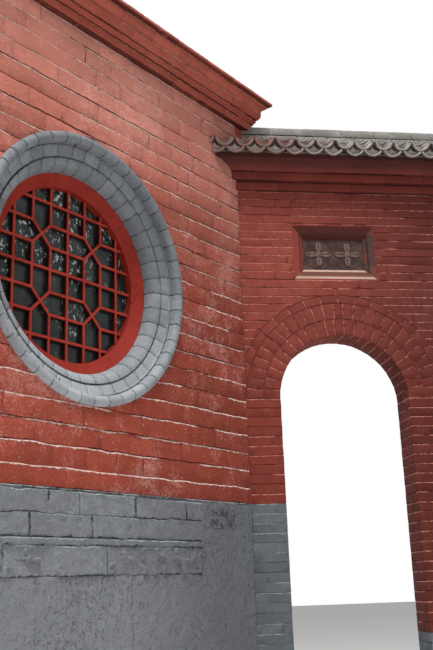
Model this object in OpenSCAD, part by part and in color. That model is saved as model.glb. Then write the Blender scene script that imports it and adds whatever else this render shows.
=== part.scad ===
// An arched brick gateway that butts against the canted bay of a hall wall with a round moon window.
// Millimetres. X runs along the gate wall to the right, Y into the walls, Z up from the ground.
// The working origin is the inside corner where the two wall faces meet. The finished part is
// then moved so that the middle of its base is at the origin.

/* [Gate wall] */
// Thickness of the gate wall, one brick length
gate_t = 240; // [200:5:300]
// Length of the gate wall beyond the doorway
gate_beyond = 793; // [500:1:1600]
// Height of the wall over the plaque, up to the first corbel course
over_plaque = 272; // [120:2:500]
// Height of the grey plinth right of the doorway
plinth_h = 1165; // [600:5:1900]

/* [Doorway] */
// From the inside corner to the near jamb
door_x = 235; // [180:5:320]
// Clear width of the doorway
door_w = 922; // [800:2:1000]
// Height at which the arch springs
spring_z = 2725; // [2400:5:2800]
// Depth of the inner ring of voussoirs
ring_inner_h = 114; // [90:1:125]
// Depth of the outer ring of voussoirs
ring_outer_h = 118; // [90:1:125]
// Height of the band of bricks laid flat round the rings
hood_h = 62; // [40:1:75]

/* [Plaque] */
// Width of the plaque frame
plaque_w = 605; // [400:5:900]
// Height of the plaque frame
plaque_h = 400; // [300:5:450]
// Height of the wall between the arch and the plaque
under_plaque = 124; // [40:2:300]
// Width of the bevel at the sides of the frame
plaque_bevel_x = 44; // [30:1:80]
// Width of the bevel at the top and bottom of the frame
plaque_bevel_z = 50; // [30:1:80]
// How far the bevel leads in
plaque_bevel_d = 12; // [6:1:16]
// Depth of the field behind the wall face
plaque_recess = 40; // [30:1:60]
// Thickness of the plate in the field
panel_t = 22; // [15:1:40]
// Width of the fillet between the bevel and the inner slope
plaque_fillet_w = 6; // [3:1:10]
// Depth of the step down from the fillet
plaque_step = 5; // [2:1:8]
// Width of the inner slope round the field
plaque_slope_w = 24; // [14:1:36]
// How far the foot of the inner slope stands in front of the field
plaque_foot = 5; // [2:1:7]

/* [Gate cornice] */
// Height of the lower corbel course
corbel_low_h = 68; // [50:1:90]
// How far the lower corbel course stands out
corbel_low_out = 28; // [15:1:35]
// Height of the upper corbel course
corbel_high_h = 68; // [50:1:90]
// How far the upper corbel course stands out
corbel_high_out = 56; // [45:1:70]
// Height of the cove
cove_h = 52; // [40:1:70]
// How far the lip of the cove stands out
cove_out = 186; // [150:2:200]
// Height of the flat lip that carries the tiles
eave_lip_h = 36; // [25:1:50]

/* [Tile coping] */
// Distance from tile to tile along the eave
tile_pitch = 146; // [130:1:170]
// Joint between the edges of two tiles
tile_joint = 3; // [1:0.5:8]
// From the inside corner to the middle of the first whole tile
tile_start = 33; // [0:1:70]
// Depth of the curve of a pan tile
tile_sag = 60; // [45:1:70]
// Thickness of a tile
tile_t = 16; // [12:1:20]
// Depth of the curve of a drip tile
drip_sag = 40; // [30:1:48]
// How far the pan tiles reach past the lip of the cove
tile_reach = 16; // [8:1:30]
// How far the drip tiles stay back from the ends of the pan tiles
drip_back = 14; // [6:1:30]
// Slope of the tiles in degrees
tile_slope = 28; // [22:1:32]
// How deep a tile is bedded in mortar
bed_depth = 7; // [4:1:12]
// Width of the ridge
ridge_w = 120; // [100:2:150]
// Height of the two lower brick courses of the ridge
ridge_course_h = 126; // [100:1:150]
// Height of the top course of the ridge
ridge_cap_h = 63; // [45:1:80]
// How far the top course stands out
ridge_cap_out = 4; // [2:1:12]
// How far the top course reaches up in front of the hall cornice
ridge_lap = 34; // [5:1:50]

/* [Hall wall] */
// Thickness of the hall wall
hall_t = 480; // [440:10:520]
// How far the hall wall turns towards the viewer from the line of the gate wall, in degrees
turn = 45; // [42:1:50]
// How far the hall corner lies inside the gate wall, along the hall face
corner_lap = 120; // [60:5:160]
// Width of the bay, from its left end to the hall corner
bay_w = 3212; // [2900:4:3600]
// Length of the return behind the hall corner
return_run = 720; // [600:10:900]
// Height of the grey dado
dado_h = 2016; // [1700:4:2300]

/* [Moon window] */
// Height of the centre of the window
win_z = 3285; // [3230:5:3500]
// Outer radius of the moulded surround
roll_r = 811; // [790:1:830]
// Width of the outer roll
roll_w = 67; // [50:1:75]
// How far the outer roll stands out of the wall
roll_proud = 30; // [15:1:45]
// Width of the band with its bead
band_w = 76; // [60:1:85]
// Depth of the outer edge of the band behind the wall face
band_recess = 39; // [25:1:60]
// How far the band falls back towards its inner edge
band_fall = 12; // [6:1:26]
// Width of the bead at the outer edge of the band
band_bead_w = 10; // [7:1:15]
// How far the bead stands in front of the band
band_bead_proud = 12; // [6:1:20]
// Width of the groove at the inner edge of the band
groove_w = 10; // [6:1:14]
// Depth of the groove
groove_d = 20; // [12:1:30]
// Width of the inner roll
inner_roll_w = 68; // [60:1:80]
// Depth of the front of the inner roll behind the wall face
inner_roll_recess = 52; // [40:1:85]
// Depth of the moulded bricks in the wall
surround_d = 136; // [120:2:190]
// Width of the splayed face of the timber ring
ring_face_w = 71; // [60:1:80]
// How far the timber ring laps behind the moulded bricks
ring_lap = 34; // [20:1:50]
// Depth of the timber ring
ring_d = 122; // [110:2:170]
// How far the splay of the timber ring leads in
ring_splay = 42; // [25:1:60]
// Radius of the reveal on the back of the wall
back_reveal_r = 596; // [580:2:640]

/* [Lattice] */
// Distance from bar to bar
bar_pitch = 136; // [126:1:140]
// Width of a bar
bar_w = 20; // [16:1:32]
// Depth of a bar
bar_d = 28; // [22:1:60]
// How far the bars lie behind the nose of the timber ring
bar_back = 18; // [10:1:30]
// Width of the rounded edge of a bar
bar_edge = 3; // [2:1:6]
// Thickness of the glass
glass_t = 5; // [4:1:8]
// How far the glass reaches into its rebate
glass_bite = 16; // [10:1:24]
// Height of the bead that holds the glass
glazing_bead_w = 18; // [14:1:26]

/* [Hall cornice] */
// Height of the flat band
flat_h = 61; // [50:1:75]
// How far the flat band stands out
flat_out = 45; // [30:1:60]
// Height of each of the two fillets
fillet_h = 20; // [14:1:26]
// How far each fillet steps out
fillet_step = 12; // [8:1:18]
// Height of the ovolo
ovolo_h = 62; // [50:1:75]
// How far the ovolo swells out
ovolo_out = 30; // [20:1:40]
// Height of the cavetto
cavetto_h = 40; // [30:1:55]
// Height of the thin lip on top of the cavetto
lip_h = 22; // [14:1:30]
// How far the lip stands out
lip_out = 131; // [120:1:145]
// Height of the top slab
slab_h = 28; // [20:1:45]
// How far the top slab stands out
slab_out = 165; // [150:1:190]

/* [Hidden] */
$fn = 96;

brick_red = "#8f4136";
gate_red = "#7c352d";
dado_grey = "#767a7e";
moulding_grey = "#9a9ea2";
timber_red = "#9a3a30";
tile_grey = "#8c8880";
plate_brown = "#4a2f2a";
mortar = "#8a857c";

// The doorway and its rings
door_r = door_w / 2;
door_mid = door_x + door_r;
gate_run = door_x + door_w + gate_beyond;
ring_inner_r = door_r + ring_inner_h;
ring_outer_r = ring_inner_r + ring_outer_h;
hood_r = ring_outer_r + hood_h;

// The plaque: how far in the slope starts, and how far in the field starts
plaque_rim = plaque_bevel_x + plaque_fillet_w;
field_inset_x = plaque_rim + plaque_slope_w;
field_inset_z = plaque_bevel_z + plaque_fillet_w + plaque_slope_w;

// Heights of the gate wall, from the arch up to the tiles
crown_z = spring_z + hood_r;
plaque_z = crown_z + under_plaque;
gate_h = plaque_z + plaque_h + over_plaque;
corbel_high_z = gate_h + corbel_low_h;
cove_z = corbel_high_z + corbel_high_h;
eave_lip_z = cove_z + cove_h;
eave_z = eave_lip_z + eave_lip_h;

// Corner of the hall, which is square, and the half angle of its mitre
return_turn = 90;
mitre = tan(return_turn / 2);
corner_x = corner_lap * cos(turn);
corner_y = corner_lap * sin(turn);

// Edges of the moulded rings, from the outside in
roll_in_r = roll_r - roll_w;
band_in_r = roll_in_r - band_w;
inner_roll_in_r = band_in_r - inner_roll_w;
opening_r = inner_roll_in_r - ring_face_w;
ring_back_r = inner_roll_in_r + ring_lap;
ring_back_e = surround_d + ring_d;
lattice_e = surround_d + ring_splay + bar_back;
glass_e = lattice_e + bar_d;
hall_run = bay_w - corner_lap;
win_x = bay_w / 2 - corner_lap;
win_split = roll_r + 80;

// The coping: its slope starts at the lip of the cove and ends at the face of the ridge
coping_mid = gate_t / 2;
eave_front = -(cove_out + tile_reach);
ridge_face = coping_mid - ridge_w / 2;
slope_len = (ridge_face - eave_front) / cos(tile_slope) + tile_sag;
bed_low_z = eave_z + tile_reach * tan(tile_slope) + bed_depth / cos(tile_slope);
bed_high_z = bed_low_z + (ridge_face + cove_out) * tan(tile_slope);
ridge_top_z = bed_high_z + ridge_course_h + ridge_cap_h;
tile_count = ceil((gate_run + tile_pitch) / tile_pitch) + 2;

// Heights of the hall cornice: the top of the ridge runs against its flat band
hall_h = ridge_top_z - ridge_lap;
fillets_z = hall_h + flat_h;
ovolo_z = fillets_z + 2 * fillet_h;
cavetto_z = ovolo_z + ovolo_h;
slab_z = cavetto_z + cavetto_h + lip_h;
ovolo_in = flat_out + 2 * fillet_step;
cavetto_in = ovolo_in + ovolo_out;

// Plan of the gate wall with its faces moved out by p: it is cut by the hall face and by its return
function gate_plan(p) = [
    [-p / tan(turn), -p],
    [gate_run, -p],
    [gate_run, gate_t + p],
    [corner_x + (gate_t + p - corner_y) / tan(turn + return_turn), gate_t + p],
    [corner_x, corner_y]
];

// A point given along and into the return, seen in the frame of the hall face
function on_return(a, b) = [
    corner_lap + a * cos(return_turn) - b * sin(return_turn),
    a * sin(return_turn) + b * cos(return_turn)
];

// Plan of the hall wall with its outer faces moved out by p, in the frame of the hall face
function hall_plan(left, p) = [
    [-left, -p],
    [corner_lap + p * mitre, -p],
    on_return(return_run, -p),
    on_return(return_run, hall_t),
    [corner_lap - hall_t * mitre, hall_t],
    [-left, hall_t]
];

// Extent of the part in plan, which places the origin under its middle
function hall_to_world(q) = [
    q[0] * cos(turn) - q[1] * sin(turn),
    q[0] * sin(turn) + q[1] * cos(turn)
];
far_back = hall_to_world([-hall_run, hall_t]);
far_front = hall_to_world([-hall_run, -slab_out]);
return_end = hall_to_world(on_return(return_run, -slab_out));
mid_x = (far_back[0] + gate_run) / 2;
mid_y = (far_front[1] + return_end[1]) / 2;

module placed() {
    translate([-mid_x, -mid_y, 0]) children();
}

// Frame of the hall: X along its face to the right, Y into the wall
module on_hall() {
    placed() rotate([0, 0, turn]) children();
}

// Frame of the window: Z points into the wall, the origin is its centre on the wall face
module on_window() {
    on_hall() translate([-win_x, 0, win_z]) rotate([-90, 0, 0]) children();
}

// Carries a profile in Y and Z along X, from x0 to x1
module run_along_x(x0, x1) {
    translate([x0, 0, 0]) rotate([90, 0, 90]) linear_extrude(x1 - x0) children();
}

// A straight slab of the gate wall, from z0 to z1, with its faces moved out by p
module gate_slab(z0, z1, p = 0) {
    translate([0, 0, z0]) linear_extrude(z1 - z0) polygon(gate_plan(p));
}

// Keeps what lies right of x0 and left of x1
module between_x(x0, x1) {
    intersection() {
        translate([x0, -gate_run, -10]) cube([x1 - x0, 3 * gate_run, 2 * hall_h]);
        children();
    }
}

// A cylinder along Y through the gate wall, about the centre of the arch
module through_arch(r) {
    translate([door_mid, 2 * gate_t, spring_z]) rotate([90, 0, 0]) cylinder(r = r, h = 4 * gate_t);
}

// A half ring of the arch, cut where the hall face stands in its way
module arch_half_ring(r_in, r_out) {
    difference() {
        intersection() {
            gate_slab(spring_z, crown_z + 1);
            through_arch(r_out);
        }
        through_arch(r_in);
    }
}

module gate_plinth_left() {
    color(dado_grey) placed() between_x(-gate_run, door_x) gate_slab(0, dado_h);
}

module gate_plinth_right() {
    color(dado_grey) placed() between_x(door_x + door_w, gate_run) gate_slab(0, plinth_h);
}

module gate_pier_left() {
    color(gate_red) placed() between_x(-gate_run, door_x) gate_slab(dado_h, spring_z);
}

module gate_pier_right() {
    color(gate_red) placed() between_x(door_x + door_w, gate_run) gate_slab(plinth_h, spring_z);
}

module arch_ring_inner() {
    color(gate_red) placed() arch_half_ring(door_r, ring_inner_r);
}

module arch_ring_outer() {
    color(gate_red) placed() arch_half_ring(ring_inner_r, ring_outer_r);
}

module arch_hood() {
    color(gate_red) placed() arch_half_ring(ring_outer_r, hood_r);
}

module spandrel(x0, x1) {
    between_x(x0, x1) difference() {
        gate_slab(spring_z, crown_z);
        through_arch(hood_r);
    }
}

module spandrel_left() {
    color(gate_red) placed() spandrel(-gate_run, door_mid);
}

module spandrel_right() {
    color(gate_red) placed() spandrel(door_mid, gate_run);
}

module gate_wall_head() {
    color(gate_red) placed() difference() {
        gate_slab(crown_z, gate_h);
        plaque_block(0, plaque_recess + panel_t, 0);
    }
}

// A block about the middle of the plaque, from depth y0 to y1, with its edges drawn in
module plaque_block(y0, y1, inset_x, inset_z = 0) {
    translate([door_mid - plaque_w / 2 + inset_x, y0, plaque_z + inset_z])
        cube([plaque_w - 2 * inset_x, y1 - y0, plaque_h - 2 * inset_z]);
}

// A hollow that narrows from depth y0 to y1, in x and in z: two wedges crossed
module plaque_funnel(y0, y1, x0, x1, z0, z1) {
    half = plaque_w / 2;
    intersection() {
        translate([door_mid, 0, 0]) linear_extrude(gate_h) polygon([
            [x0 - half, y0],
            [half - x0, y0],
            [half - x1, y1],
            [x1 - half, y1]
        ]);
        run_along_x(0, gate_run) polygon([
            [y0, plaque_z + z0],
            [y1, plaque_z + z1],
            [y1, plaque_z + plaque_h - z1],
            [y0, plaque_z + plaque_h - z0]
        ]);
    }
}

// The frame: a bevel, a fillet with a step down, and a slope to the field
module plaque_frame() {
    slope_d = plaque_bevel_d + plaque_step;
    rim_z = plaque_bevel_z + plaque_fillet_w;
    color(gate_red) placed() difference() {
        plaque_block(0, plaque_recess + panel_t, 0);
        plaque_funnel(0, plaque_bevel_d, 0, plaque_bevel_x, 0, plaque_bevel_z);
        plaque_block(-1, slope_d, plaque_rim, rim_z);
        plaque_funnel(slope_d, plaque_recess - plaque_foot, plaque_rim, field_inset_x, rim_z, field_inset_z);
        plaque_block(-1, plaque_recess + panel_t + 1, field_inset_x, field_inset_z);
    }
}

module plaque_panel() {
    color(plate_brown) placed()
        plaque_block(plaque_recess, plaque_recess + panel_t, field_inset_x, field_inset_z);
}

module corbel_low() {
    color(gate_red) placed() gate_slab(gate_h, corbel_high_z, corbel_low_out);
}

module corbel_high() {
    color(gate_red) placed() gate_slab(corbel_high_z, cove_z, corbel_high_out);
}

// The cove is a quarter of an ellipse that leans out from the upper corbel to the lip
module eave_cove() {
    cove_in = corbel_high_out + 8;
    color(gate_red) placed() intersection() {
        gate_slab(cove_z, eave_z, cove_out);
        run_along_x(-2 * cove_out, gate_run) difference() {
            translate([-cove_out, cove_z]) square([gate_t + 2 * cove_out, eave_z - cove_z]);
            for (side = [-1, 1])
                translate([coping_mid + side * (coping_mid + cove_out), cove_z])
                    scale([(cove_out - cove_in) / cove_h, 1]) circle(r = cove_h);
        }
    }
}

// Outline of a tile with its underside on the X axis: the arc follows from its width and its sag
module tile_outline(sag) {
    half = (tile_pitch - tile_joint) / 2;
    r = (half * half + sag * sag) / (2 * sag);
    intersection() {
        translate([0, r]) circle(r = r);
        translate([-r, 0]) square([2 * r, sag]);
    }
}

module tile_section(sag) {
    half = (tile_pitch - tile_joint) / 2;
    r = (half * half + sag * sag) / (2 * sag);
    difference() {
        tile_outline(sag);
        translate([0, r]) circle(r = r - tile_t);
    }
}

// Lays an outline up the front slope once for every tile, with its underside raised square to the slope
module up_the_slope(shift, raise, back) {
    translate([0, eave_front, eave_z]) rotate([tile_slope, 0, 0])
        for (i = [-2:tile_count])
            translate([tile_start + (i + shift) * tile_pitch, back, raise])
                rotate([90, 0, 0]) translate([0, 0, -slope_len]) linear_extrude(slope_len) children();
}

// The front slope as drawn, or the same mirrored for the back
module on_slope(front) {
    translate([0, front ? 0 : gate_t, 0]) mirror([0, front ? 0 : 1, 0]) children();
}

// The tiles stop at the face of the ridge, at the hall wall and at the end of the gate wall
module tile_region(front) {
    reach = 2 * cove_out;
    intersection() {
        gate_slab(eave_z - reach, ridge_top_z, reach);
        on_slope(front) translate([-gate_run, -reach, eave_z - reach])
            cube([3 * gate_run, reach + ridge_face, 2 * reach + ridge_top_z - eave_z]);
        children();
    }
}

module drip_tiles_front() {
    color(tile_grey) placed() tile_region(true) on_slope(true)
        up_the_slope(0.5, 0, drip_back) tile_section(drip_sag);
}

module drip_tiles_back() {
    color(tile_grey) placed() tile_region(false) on_slope(false)
        up_the_slope(0.5, 0, drip_back) tile_section(drip_sag);
}

module pan_tiles_front() {
    color(tile_grey) placed() tile_region(true) on_slope(true)
        up_the_slope(0, drip_sag, 0) tile_section(tile_sag);
}

module pan_tiles_back() {
    color(tile_grey) placed() tile_region(false) on_slope(false)
        up_the_slope(0, drip_sag, 0) tile_section(tile_sag);
}

// The mortar bed rises with the slope, and the drip tiles lie in its grooves
module coping_bed() {
    color(mortar) placed() difference() {
        intersection() {
            gate_slab(eave_z, bed_high_z, cove_out);
            run_along_x(-2 * cove_out, gate_run) polygon([
                [-cove_out, eave_z],
                [gate_t + cove_out, eave_z],
                [gate_t + cove_out, bed_low_z],
                [gate_t - ridge_face, bed_high_z],
                [ridge_face, bed_high_z],
                [-cove_out, bed_low_z]
            ]);
        }
        for (front = [true, false])
            tile_region(front) on_slope(front) up_the_slope(0.5, 0, 0) tile_outline(drip_sag);
    }
}

// A course of the ridge, with its faces moved out by p
module ridge_slab(z0, h, p) {
    intersection() {
        gate_slab(z0, z0 + h);
        translate([-gate_run, ridge_face - p, z0 - 1]) cube([3 * gate_run, ridge_w + 2 * p, h + 2]);
    }
}

module ridge_course() {
    color(gate_red) placed() ridge_slab(bed_high_z, ridge_course_h, 0);
}

// The top course is cut to fit round the flat band of the hall cornice
module ridge_cap() {
    color(tile_grey) difference() {
        placed() ridge_slab(bed_high_z + ridge_course_h, ridge_cap_h, ridge_cap_out);
        cornice_flat_block();
    }
}

module hall_dado() {
    color(dado_grey) on_hall() linear_extrude(dado_h) polygon(hall_plan(hall_run, 0));
}

// The wall right of the window turns the corner of the hall in one mass
module hall_wall_corner() {
    color(brick_red) on_hall() translate([0, 0, dado_h])
        linear_extrude(hall_h - dado_h) polygon(hall_plan(win_x - win_split, 0));
}

module hall_wall_left() {
    color(brick_red) on_hall() translate([-hall_run, 0, dado_h])
        cube([hall_run - win_x - win_split, hall_t, hall_h - dado_h]);
}

// The stepped hole that the window is set in
module window_hole() {
    cylinder(r = roll_r, h = surround_d);
    translate([0, 0, -1]) cylinder(r = roll_r, h = 2);
    translate([0, 0, surround_d - 1]) cylinder(r = ring_back_r, h = ring_d + 1);
    translate([0, 0, ring_back_e - 1]) cylinder(r = back_reveal_r, h = hall_t);
}

module hall_wall_below() {
    color(brick_red) difference() {
        on_hall() translate([-win_x - win_split, 0, dado_h]) cube([2 * win_split, hall_t, win_z - dado_h]);
        on_window() window_hole();
    }
}

module hall_wall_above() {
    color(brick_red) difference() {
        on_hall() translate([-win_x - win_split, 0, win_z]) cube([2 * win_split, hall_t, hall_h - win_z]);
        on_window() window_hole();
    }
}

// The outer roll: a flat-backed ring with a bull nose that stands out of the wall
module surround_outer_roll() {
    nose_r = roll_w / 2;
    color(moulding_grey) on_window() rotate_extrude() translate([roll_in_r, 0]) {
        square([roll_w, surround_d]);
        intersection() {
            translate([nose_r, 0]) scale([1, roll_proud / nose_r]) circle(r = nose_r);
            translate([0, -roll_proud]) square([roll_w, roll_proud + 1]);
        }
    }
}

// The band falls back from the bead at its outer edge to the groove at its inner edge
module surround_band() {
    bead_front = band_recess - band_bead_proud;
    groove_floor = band_recess + band_fall + groove_d;
    color(moulding_grey) on_window() rotate_extrude() translate([band_in_r, 0]) polygon([
        [0, groove_floor],
        [groove_w, groove_floor],
        [groove_w, band_recess + band_fall],
        [band_w - band_bead_w, band_recess],
        [band_w - band_bead_w, bead_front],
        [band_w, bead_front],
        [band_w, surround_d],
        [0, surround_d]
    ]);
}

// The inner roll turns from the band into the opening in a quarter of an ellipse
module surround_inner_roll() {
    depth = surround_d - inner_roll_recess;
    color(moulding_grey) on_window() rotate_extrude() intersection() {
        translate([inner_roll_in_r, inner_roll_recess]) square([inner_roll_w, depth]);
        translate([band_in_r, surround_d]) scale([inner_roll_w / depth, 1]) circle(r = depth);
    }
}

// The painted timber ring, splayed towards the opening, with a rebate for the glass at its back
module window_ring() {
    color(timber_red) on_window() rotate_extrude() difference() {
        polygon([
            [opening_r, surround_d + ring_splay],
            [inner_roll_in_r, surround_d],
            [ring_back_r, surround_d],
            [ring_back_r, ring_back_e],
            [opening_r, ring_back_e]
        ]);
        translate([opening_r - 1, glass_e]) square([glass_bite + 1, ring_back_e]);
    }
}

// Bars of the lattice: a square grid whose four inner corner squares are crossed instead
module lattice_bars(w) {
    p = bar_pitch;
    intersection() {
        circle(r = opening_r);
        difference() {
            union() {
                for (k = [-3:3]) {
                    translate([k * p - w / 2, -opening_r]) square([w, 2 * opening_r]);
                    translate([-opening_r, k * p - w / 2]) square([2 * opening_r, w]);
                }
            }
            for (sx = [-1, 1], sy = [-1, 1])
                translate([sx * 1.5 * p, sy * 1.5 * p]) {
                    square([p + w + 2, p - w], center = true);
                    square([p - w, p + w + 2], center = true);
                }
        }
    }
    for (sx = [-1, 1], sy = [-1, 1], a = [45, -45])
        translate([sx * 1.5 * p, sy * 1.5 * p]) rotate(a) square([p * sqrt(2), w], center = true);
}

module lattice() {
    color(timber_red) on_window() {
        translate([0, 0, lattice_e + bar_edge]) linear_extrude(bar_d - bar_edge) lattice_bars(bar_w);
        translate([0, 0, lattice_e]) linear_extrude(bar_edge) lattice_bars(bar_w - 2 * bar_edge);
    }
}

module glass() {
    color("#3c4a4a") on_window() translate([0, 0, glass_e]) cylinder(r = opening_r + glass_bite, h = glass_t);
}

module glazing_bead() {
    z0 = glass_e + glass_t;
    color(timber_red) on_window() translate([0, 0, z0]) difference() {
        cylinder(r = opening_r + glass_bite, h = ring_back_e - z0);
        translate([0, 0, -1]) cylinder(r = opening_r + glass_bite - glazing_bead_w, h = ring_d);
    }
}

// A moulded course of the hall cornice: its profile runs along the face and round the corner
module cornice_course(z0, h) {
    reach = slab_out + 100;
    far = hall_run + 10;
    on_hall() translate([0, 0, z0]) {
        intersection() {
            run_along_x(-hall_run, corner_lap + reach) children();
            linear_extrude(h) polygon([
                [-far, -reach],
                [corner_lap + reach * mitre, -reach],
                [corner_lap - hall_t * mitre, hall_t],
                [-far, hall_t]
            ]);
        }
        translate([corner_lap, 0, 0]) rotate([0, 0, return_turn]) intersection() {
            run_along_x(-reach, return_run) children();
            linear_extrude(h) polygon([
                [-reach * mitre, -reach],
                [return_run + 10, -reach],
                [return_run + 10, hall_t],
                [hall_t * mitre, hall_t]
            ]);
        }
    }
}

module cornice_flat_block() {
    on_hall() translate([0, 0, hall_h]) linear_extrude(flat_h) polygon(hall_plan(hall_run, flat_out));
}

module cornice_flat() {
    color(brick_red) cornice_flat_block();
}

module cornice_fillets() {
    color(brick_red) on_hall() for (step = [1, 2])
        translate([0, 0, fillets_z + (step - 1) * fillet_h])
            linear_extrude(fillet_h) polygon(hall_plan(hall_run, flat_out + step * fillet_step));
}

// The ovolo swells out from the upper fillet in a quarter of an ellipse
module cornice_ovolo() {
    color(brick_red) cornice_course(ovolo_z, ovolo_h) {
        translate([-ovolo_in, 0]) square([hall_t + ovolo_in, ovolo_h]);
        intersection() {
            translate([-ovolo_in, ovolo_h]) scale([ovolo_out / ovolo_h, 1]) circle(r = ovolo_h);
            translate([-cavetto_in, 0]) square([cavetto_in, ovolo_h]);
        }
    }
}

// The cavetto leans out from the ovolo to a thin lip under the slab
module cornice_cavetto() {
    color(brick_red) cornice_course(cavetto_z, cavetto_h + lip_h) difference() {
        translate([-lip_out, 0]) square([hall_t + lip_out, cavetto_h + lip_h]);
        translate([-lip_out, 0]) scale([(lip_out - cavetto_in) / cavetto_h, 1]) circle(r = cavetto_h);
    }
}

module cornice_slab() {
    color(brick_red) on_hall() translate([0, 0, slab_z])
        linear_extrude(slab_h) polygon(hall_plan(hall_run, slab_out));
}

gate_plinth_left();
gate_plinth_right();
gate_pier_left();
gate_pier_right();
arch_ring_inner();
arch_ring_outer();
arch_hood();
spandrel_left();
spandrel_right();
gate_wall_head();
plaque_frame();
plaque_panel();
corbel_low();
corbel_high();
eave_cove();
coping_bed();
drip_tiles_front();
pan_tiles_front();
drip_tiles_back();
pan_tiles_back();
ridge_course();
ridge_cap();
hall_dado();
hall_wall_corner();
hall_wall_left();
hall_wall_below();
hall_wall_above();
surround_outer_roll();
surround_band();
surround_inner_roll();
window_ring();
lattice();
glass();
glazing_bead();
cornice_flat();
cornice_fillets();
cornice_ovolo();
cornice_cavetto();
cornice_slab();
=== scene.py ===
import math

import bpy
import numpy as np
from mathutils import Matrix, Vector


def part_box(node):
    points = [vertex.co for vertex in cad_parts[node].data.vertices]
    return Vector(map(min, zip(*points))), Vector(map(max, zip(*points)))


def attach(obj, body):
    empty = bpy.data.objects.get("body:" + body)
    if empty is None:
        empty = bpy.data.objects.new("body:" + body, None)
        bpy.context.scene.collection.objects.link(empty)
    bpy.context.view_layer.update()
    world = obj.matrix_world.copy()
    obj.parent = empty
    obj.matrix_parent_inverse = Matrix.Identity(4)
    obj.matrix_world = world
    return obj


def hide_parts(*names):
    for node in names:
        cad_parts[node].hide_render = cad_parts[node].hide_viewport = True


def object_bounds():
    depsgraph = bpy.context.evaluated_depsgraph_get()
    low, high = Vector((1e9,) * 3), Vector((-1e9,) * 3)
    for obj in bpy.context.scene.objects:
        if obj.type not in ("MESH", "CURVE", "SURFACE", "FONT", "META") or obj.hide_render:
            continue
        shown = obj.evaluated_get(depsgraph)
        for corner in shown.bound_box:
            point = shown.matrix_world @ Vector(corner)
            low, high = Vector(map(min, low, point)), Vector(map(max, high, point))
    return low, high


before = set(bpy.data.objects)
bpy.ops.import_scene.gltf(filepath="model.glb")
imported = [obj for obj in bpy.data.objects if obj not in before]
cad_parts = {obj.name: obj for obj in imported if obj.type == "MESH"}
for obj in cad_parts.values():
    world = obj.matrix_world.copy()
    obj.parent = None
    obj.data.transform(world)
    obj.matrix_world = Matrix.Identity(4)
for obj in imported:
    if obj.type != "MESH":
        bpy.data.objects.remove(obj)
cad_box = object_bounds()

# The two walls. A thin gate wall runs along X, and a thick hall wall stands at half a right angle to it.
# Their front faces meet in one upright corner, from which every brick, tile and moulding is set out.
turn = math.radians(45)
head_low, head_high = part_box("gate_wall_head")
bay_low, bay_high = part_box("hall_wall_left")
return_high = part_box("hall_wall_corner")[1]
dado_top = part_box("hall_dado")[1][2]
hall_top = bay_high[2]
gate_t = head_high[1] - head_low[1]
corner_step = gate_t + head_low[0] - return_high[0]
corner = np.array([return_high[0] - corner_step, head_low[1], 0.0])
gate_run = head_high[0] - corner[0]
hall_run = (corner[1] - bay_low[1]) / math.sin(turn)
hall_t = (corner[0] - bay_low[0]) / math.cos(turn) - hall_run
along_gate, into_gate, up = np.eye(3)
along_hall = np.array([math.cos(turn), math.sin(turn), 0.0])
into_hall = np.array([-math.sin(turn), math.cos(turn), 0.0])
corner_lap = corner_step / math.cos(turn)
hall_corner = corner + corner_lap * along_hall
return_run = (return_high[1] - hall_corner[1]) / math.cos(turn)


def flat_face(start, along, out):
    """A placer for a flat wall face: metres along it, up it and out of it become points in the frame."""
    return lambda a, b, d: start + a[..., None] * along + b[..., None] * up + d[..., None] * out


hall_front = flat_face(corner, along_hall, -into_hall)
hall_back = flat_face(corner + hall_t * into_hall, along_hall, into_hall)
return_out = flat_face(hall_corner, into_hall, along_hall)
return_in = flat_face(hall_corner - hall_t * along_hall, into_hall, -along_hall)
gate_front = flat_face(corner, along_gate, -into_gate)
gate_back = flat_face(corner + gate_t * into_gate, along_gate, into_gate)


# Limewash. Every wall has coat upon coat of coloured limewash, brushed over brick and joint alike. It is
# matt, thin and pale on the sunlit lips of the bricks, where the pale is partly painted highlight, with a
# painted shadow under the foot of a brick, and gritty where the sand of the wash shows.
class Wire:
    """One output of a shader node. Plus, minus, times, over, power and less than add a Math node."""

    def __init__(self, pot, socket):
        self.pot, self.socket = pot, socket

    def __add__(self, other):
        return self.pot.math("ADD", self, other)

    def __sub__(self, other):
        return self.pot.math("SUBTRACT", self, other)

    def __rsub__(self, other):
        return self.pot.math("SUBTRACT", other, self)

    def __mul__(self, other):
        return self.pot.math("MULTIPLY", self, other)

    def __truediv__(self, other):
        return self.pot.math("DIVIDE", self, other)

    def __pow__(self, other):
        return self.pot.math("POWER", self, other)

    def __lt__(self, other):
        return self.pot.math("LESS_THAN", self, other)

    __radd__, __rmul__ = __add__, __mul__


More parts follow.
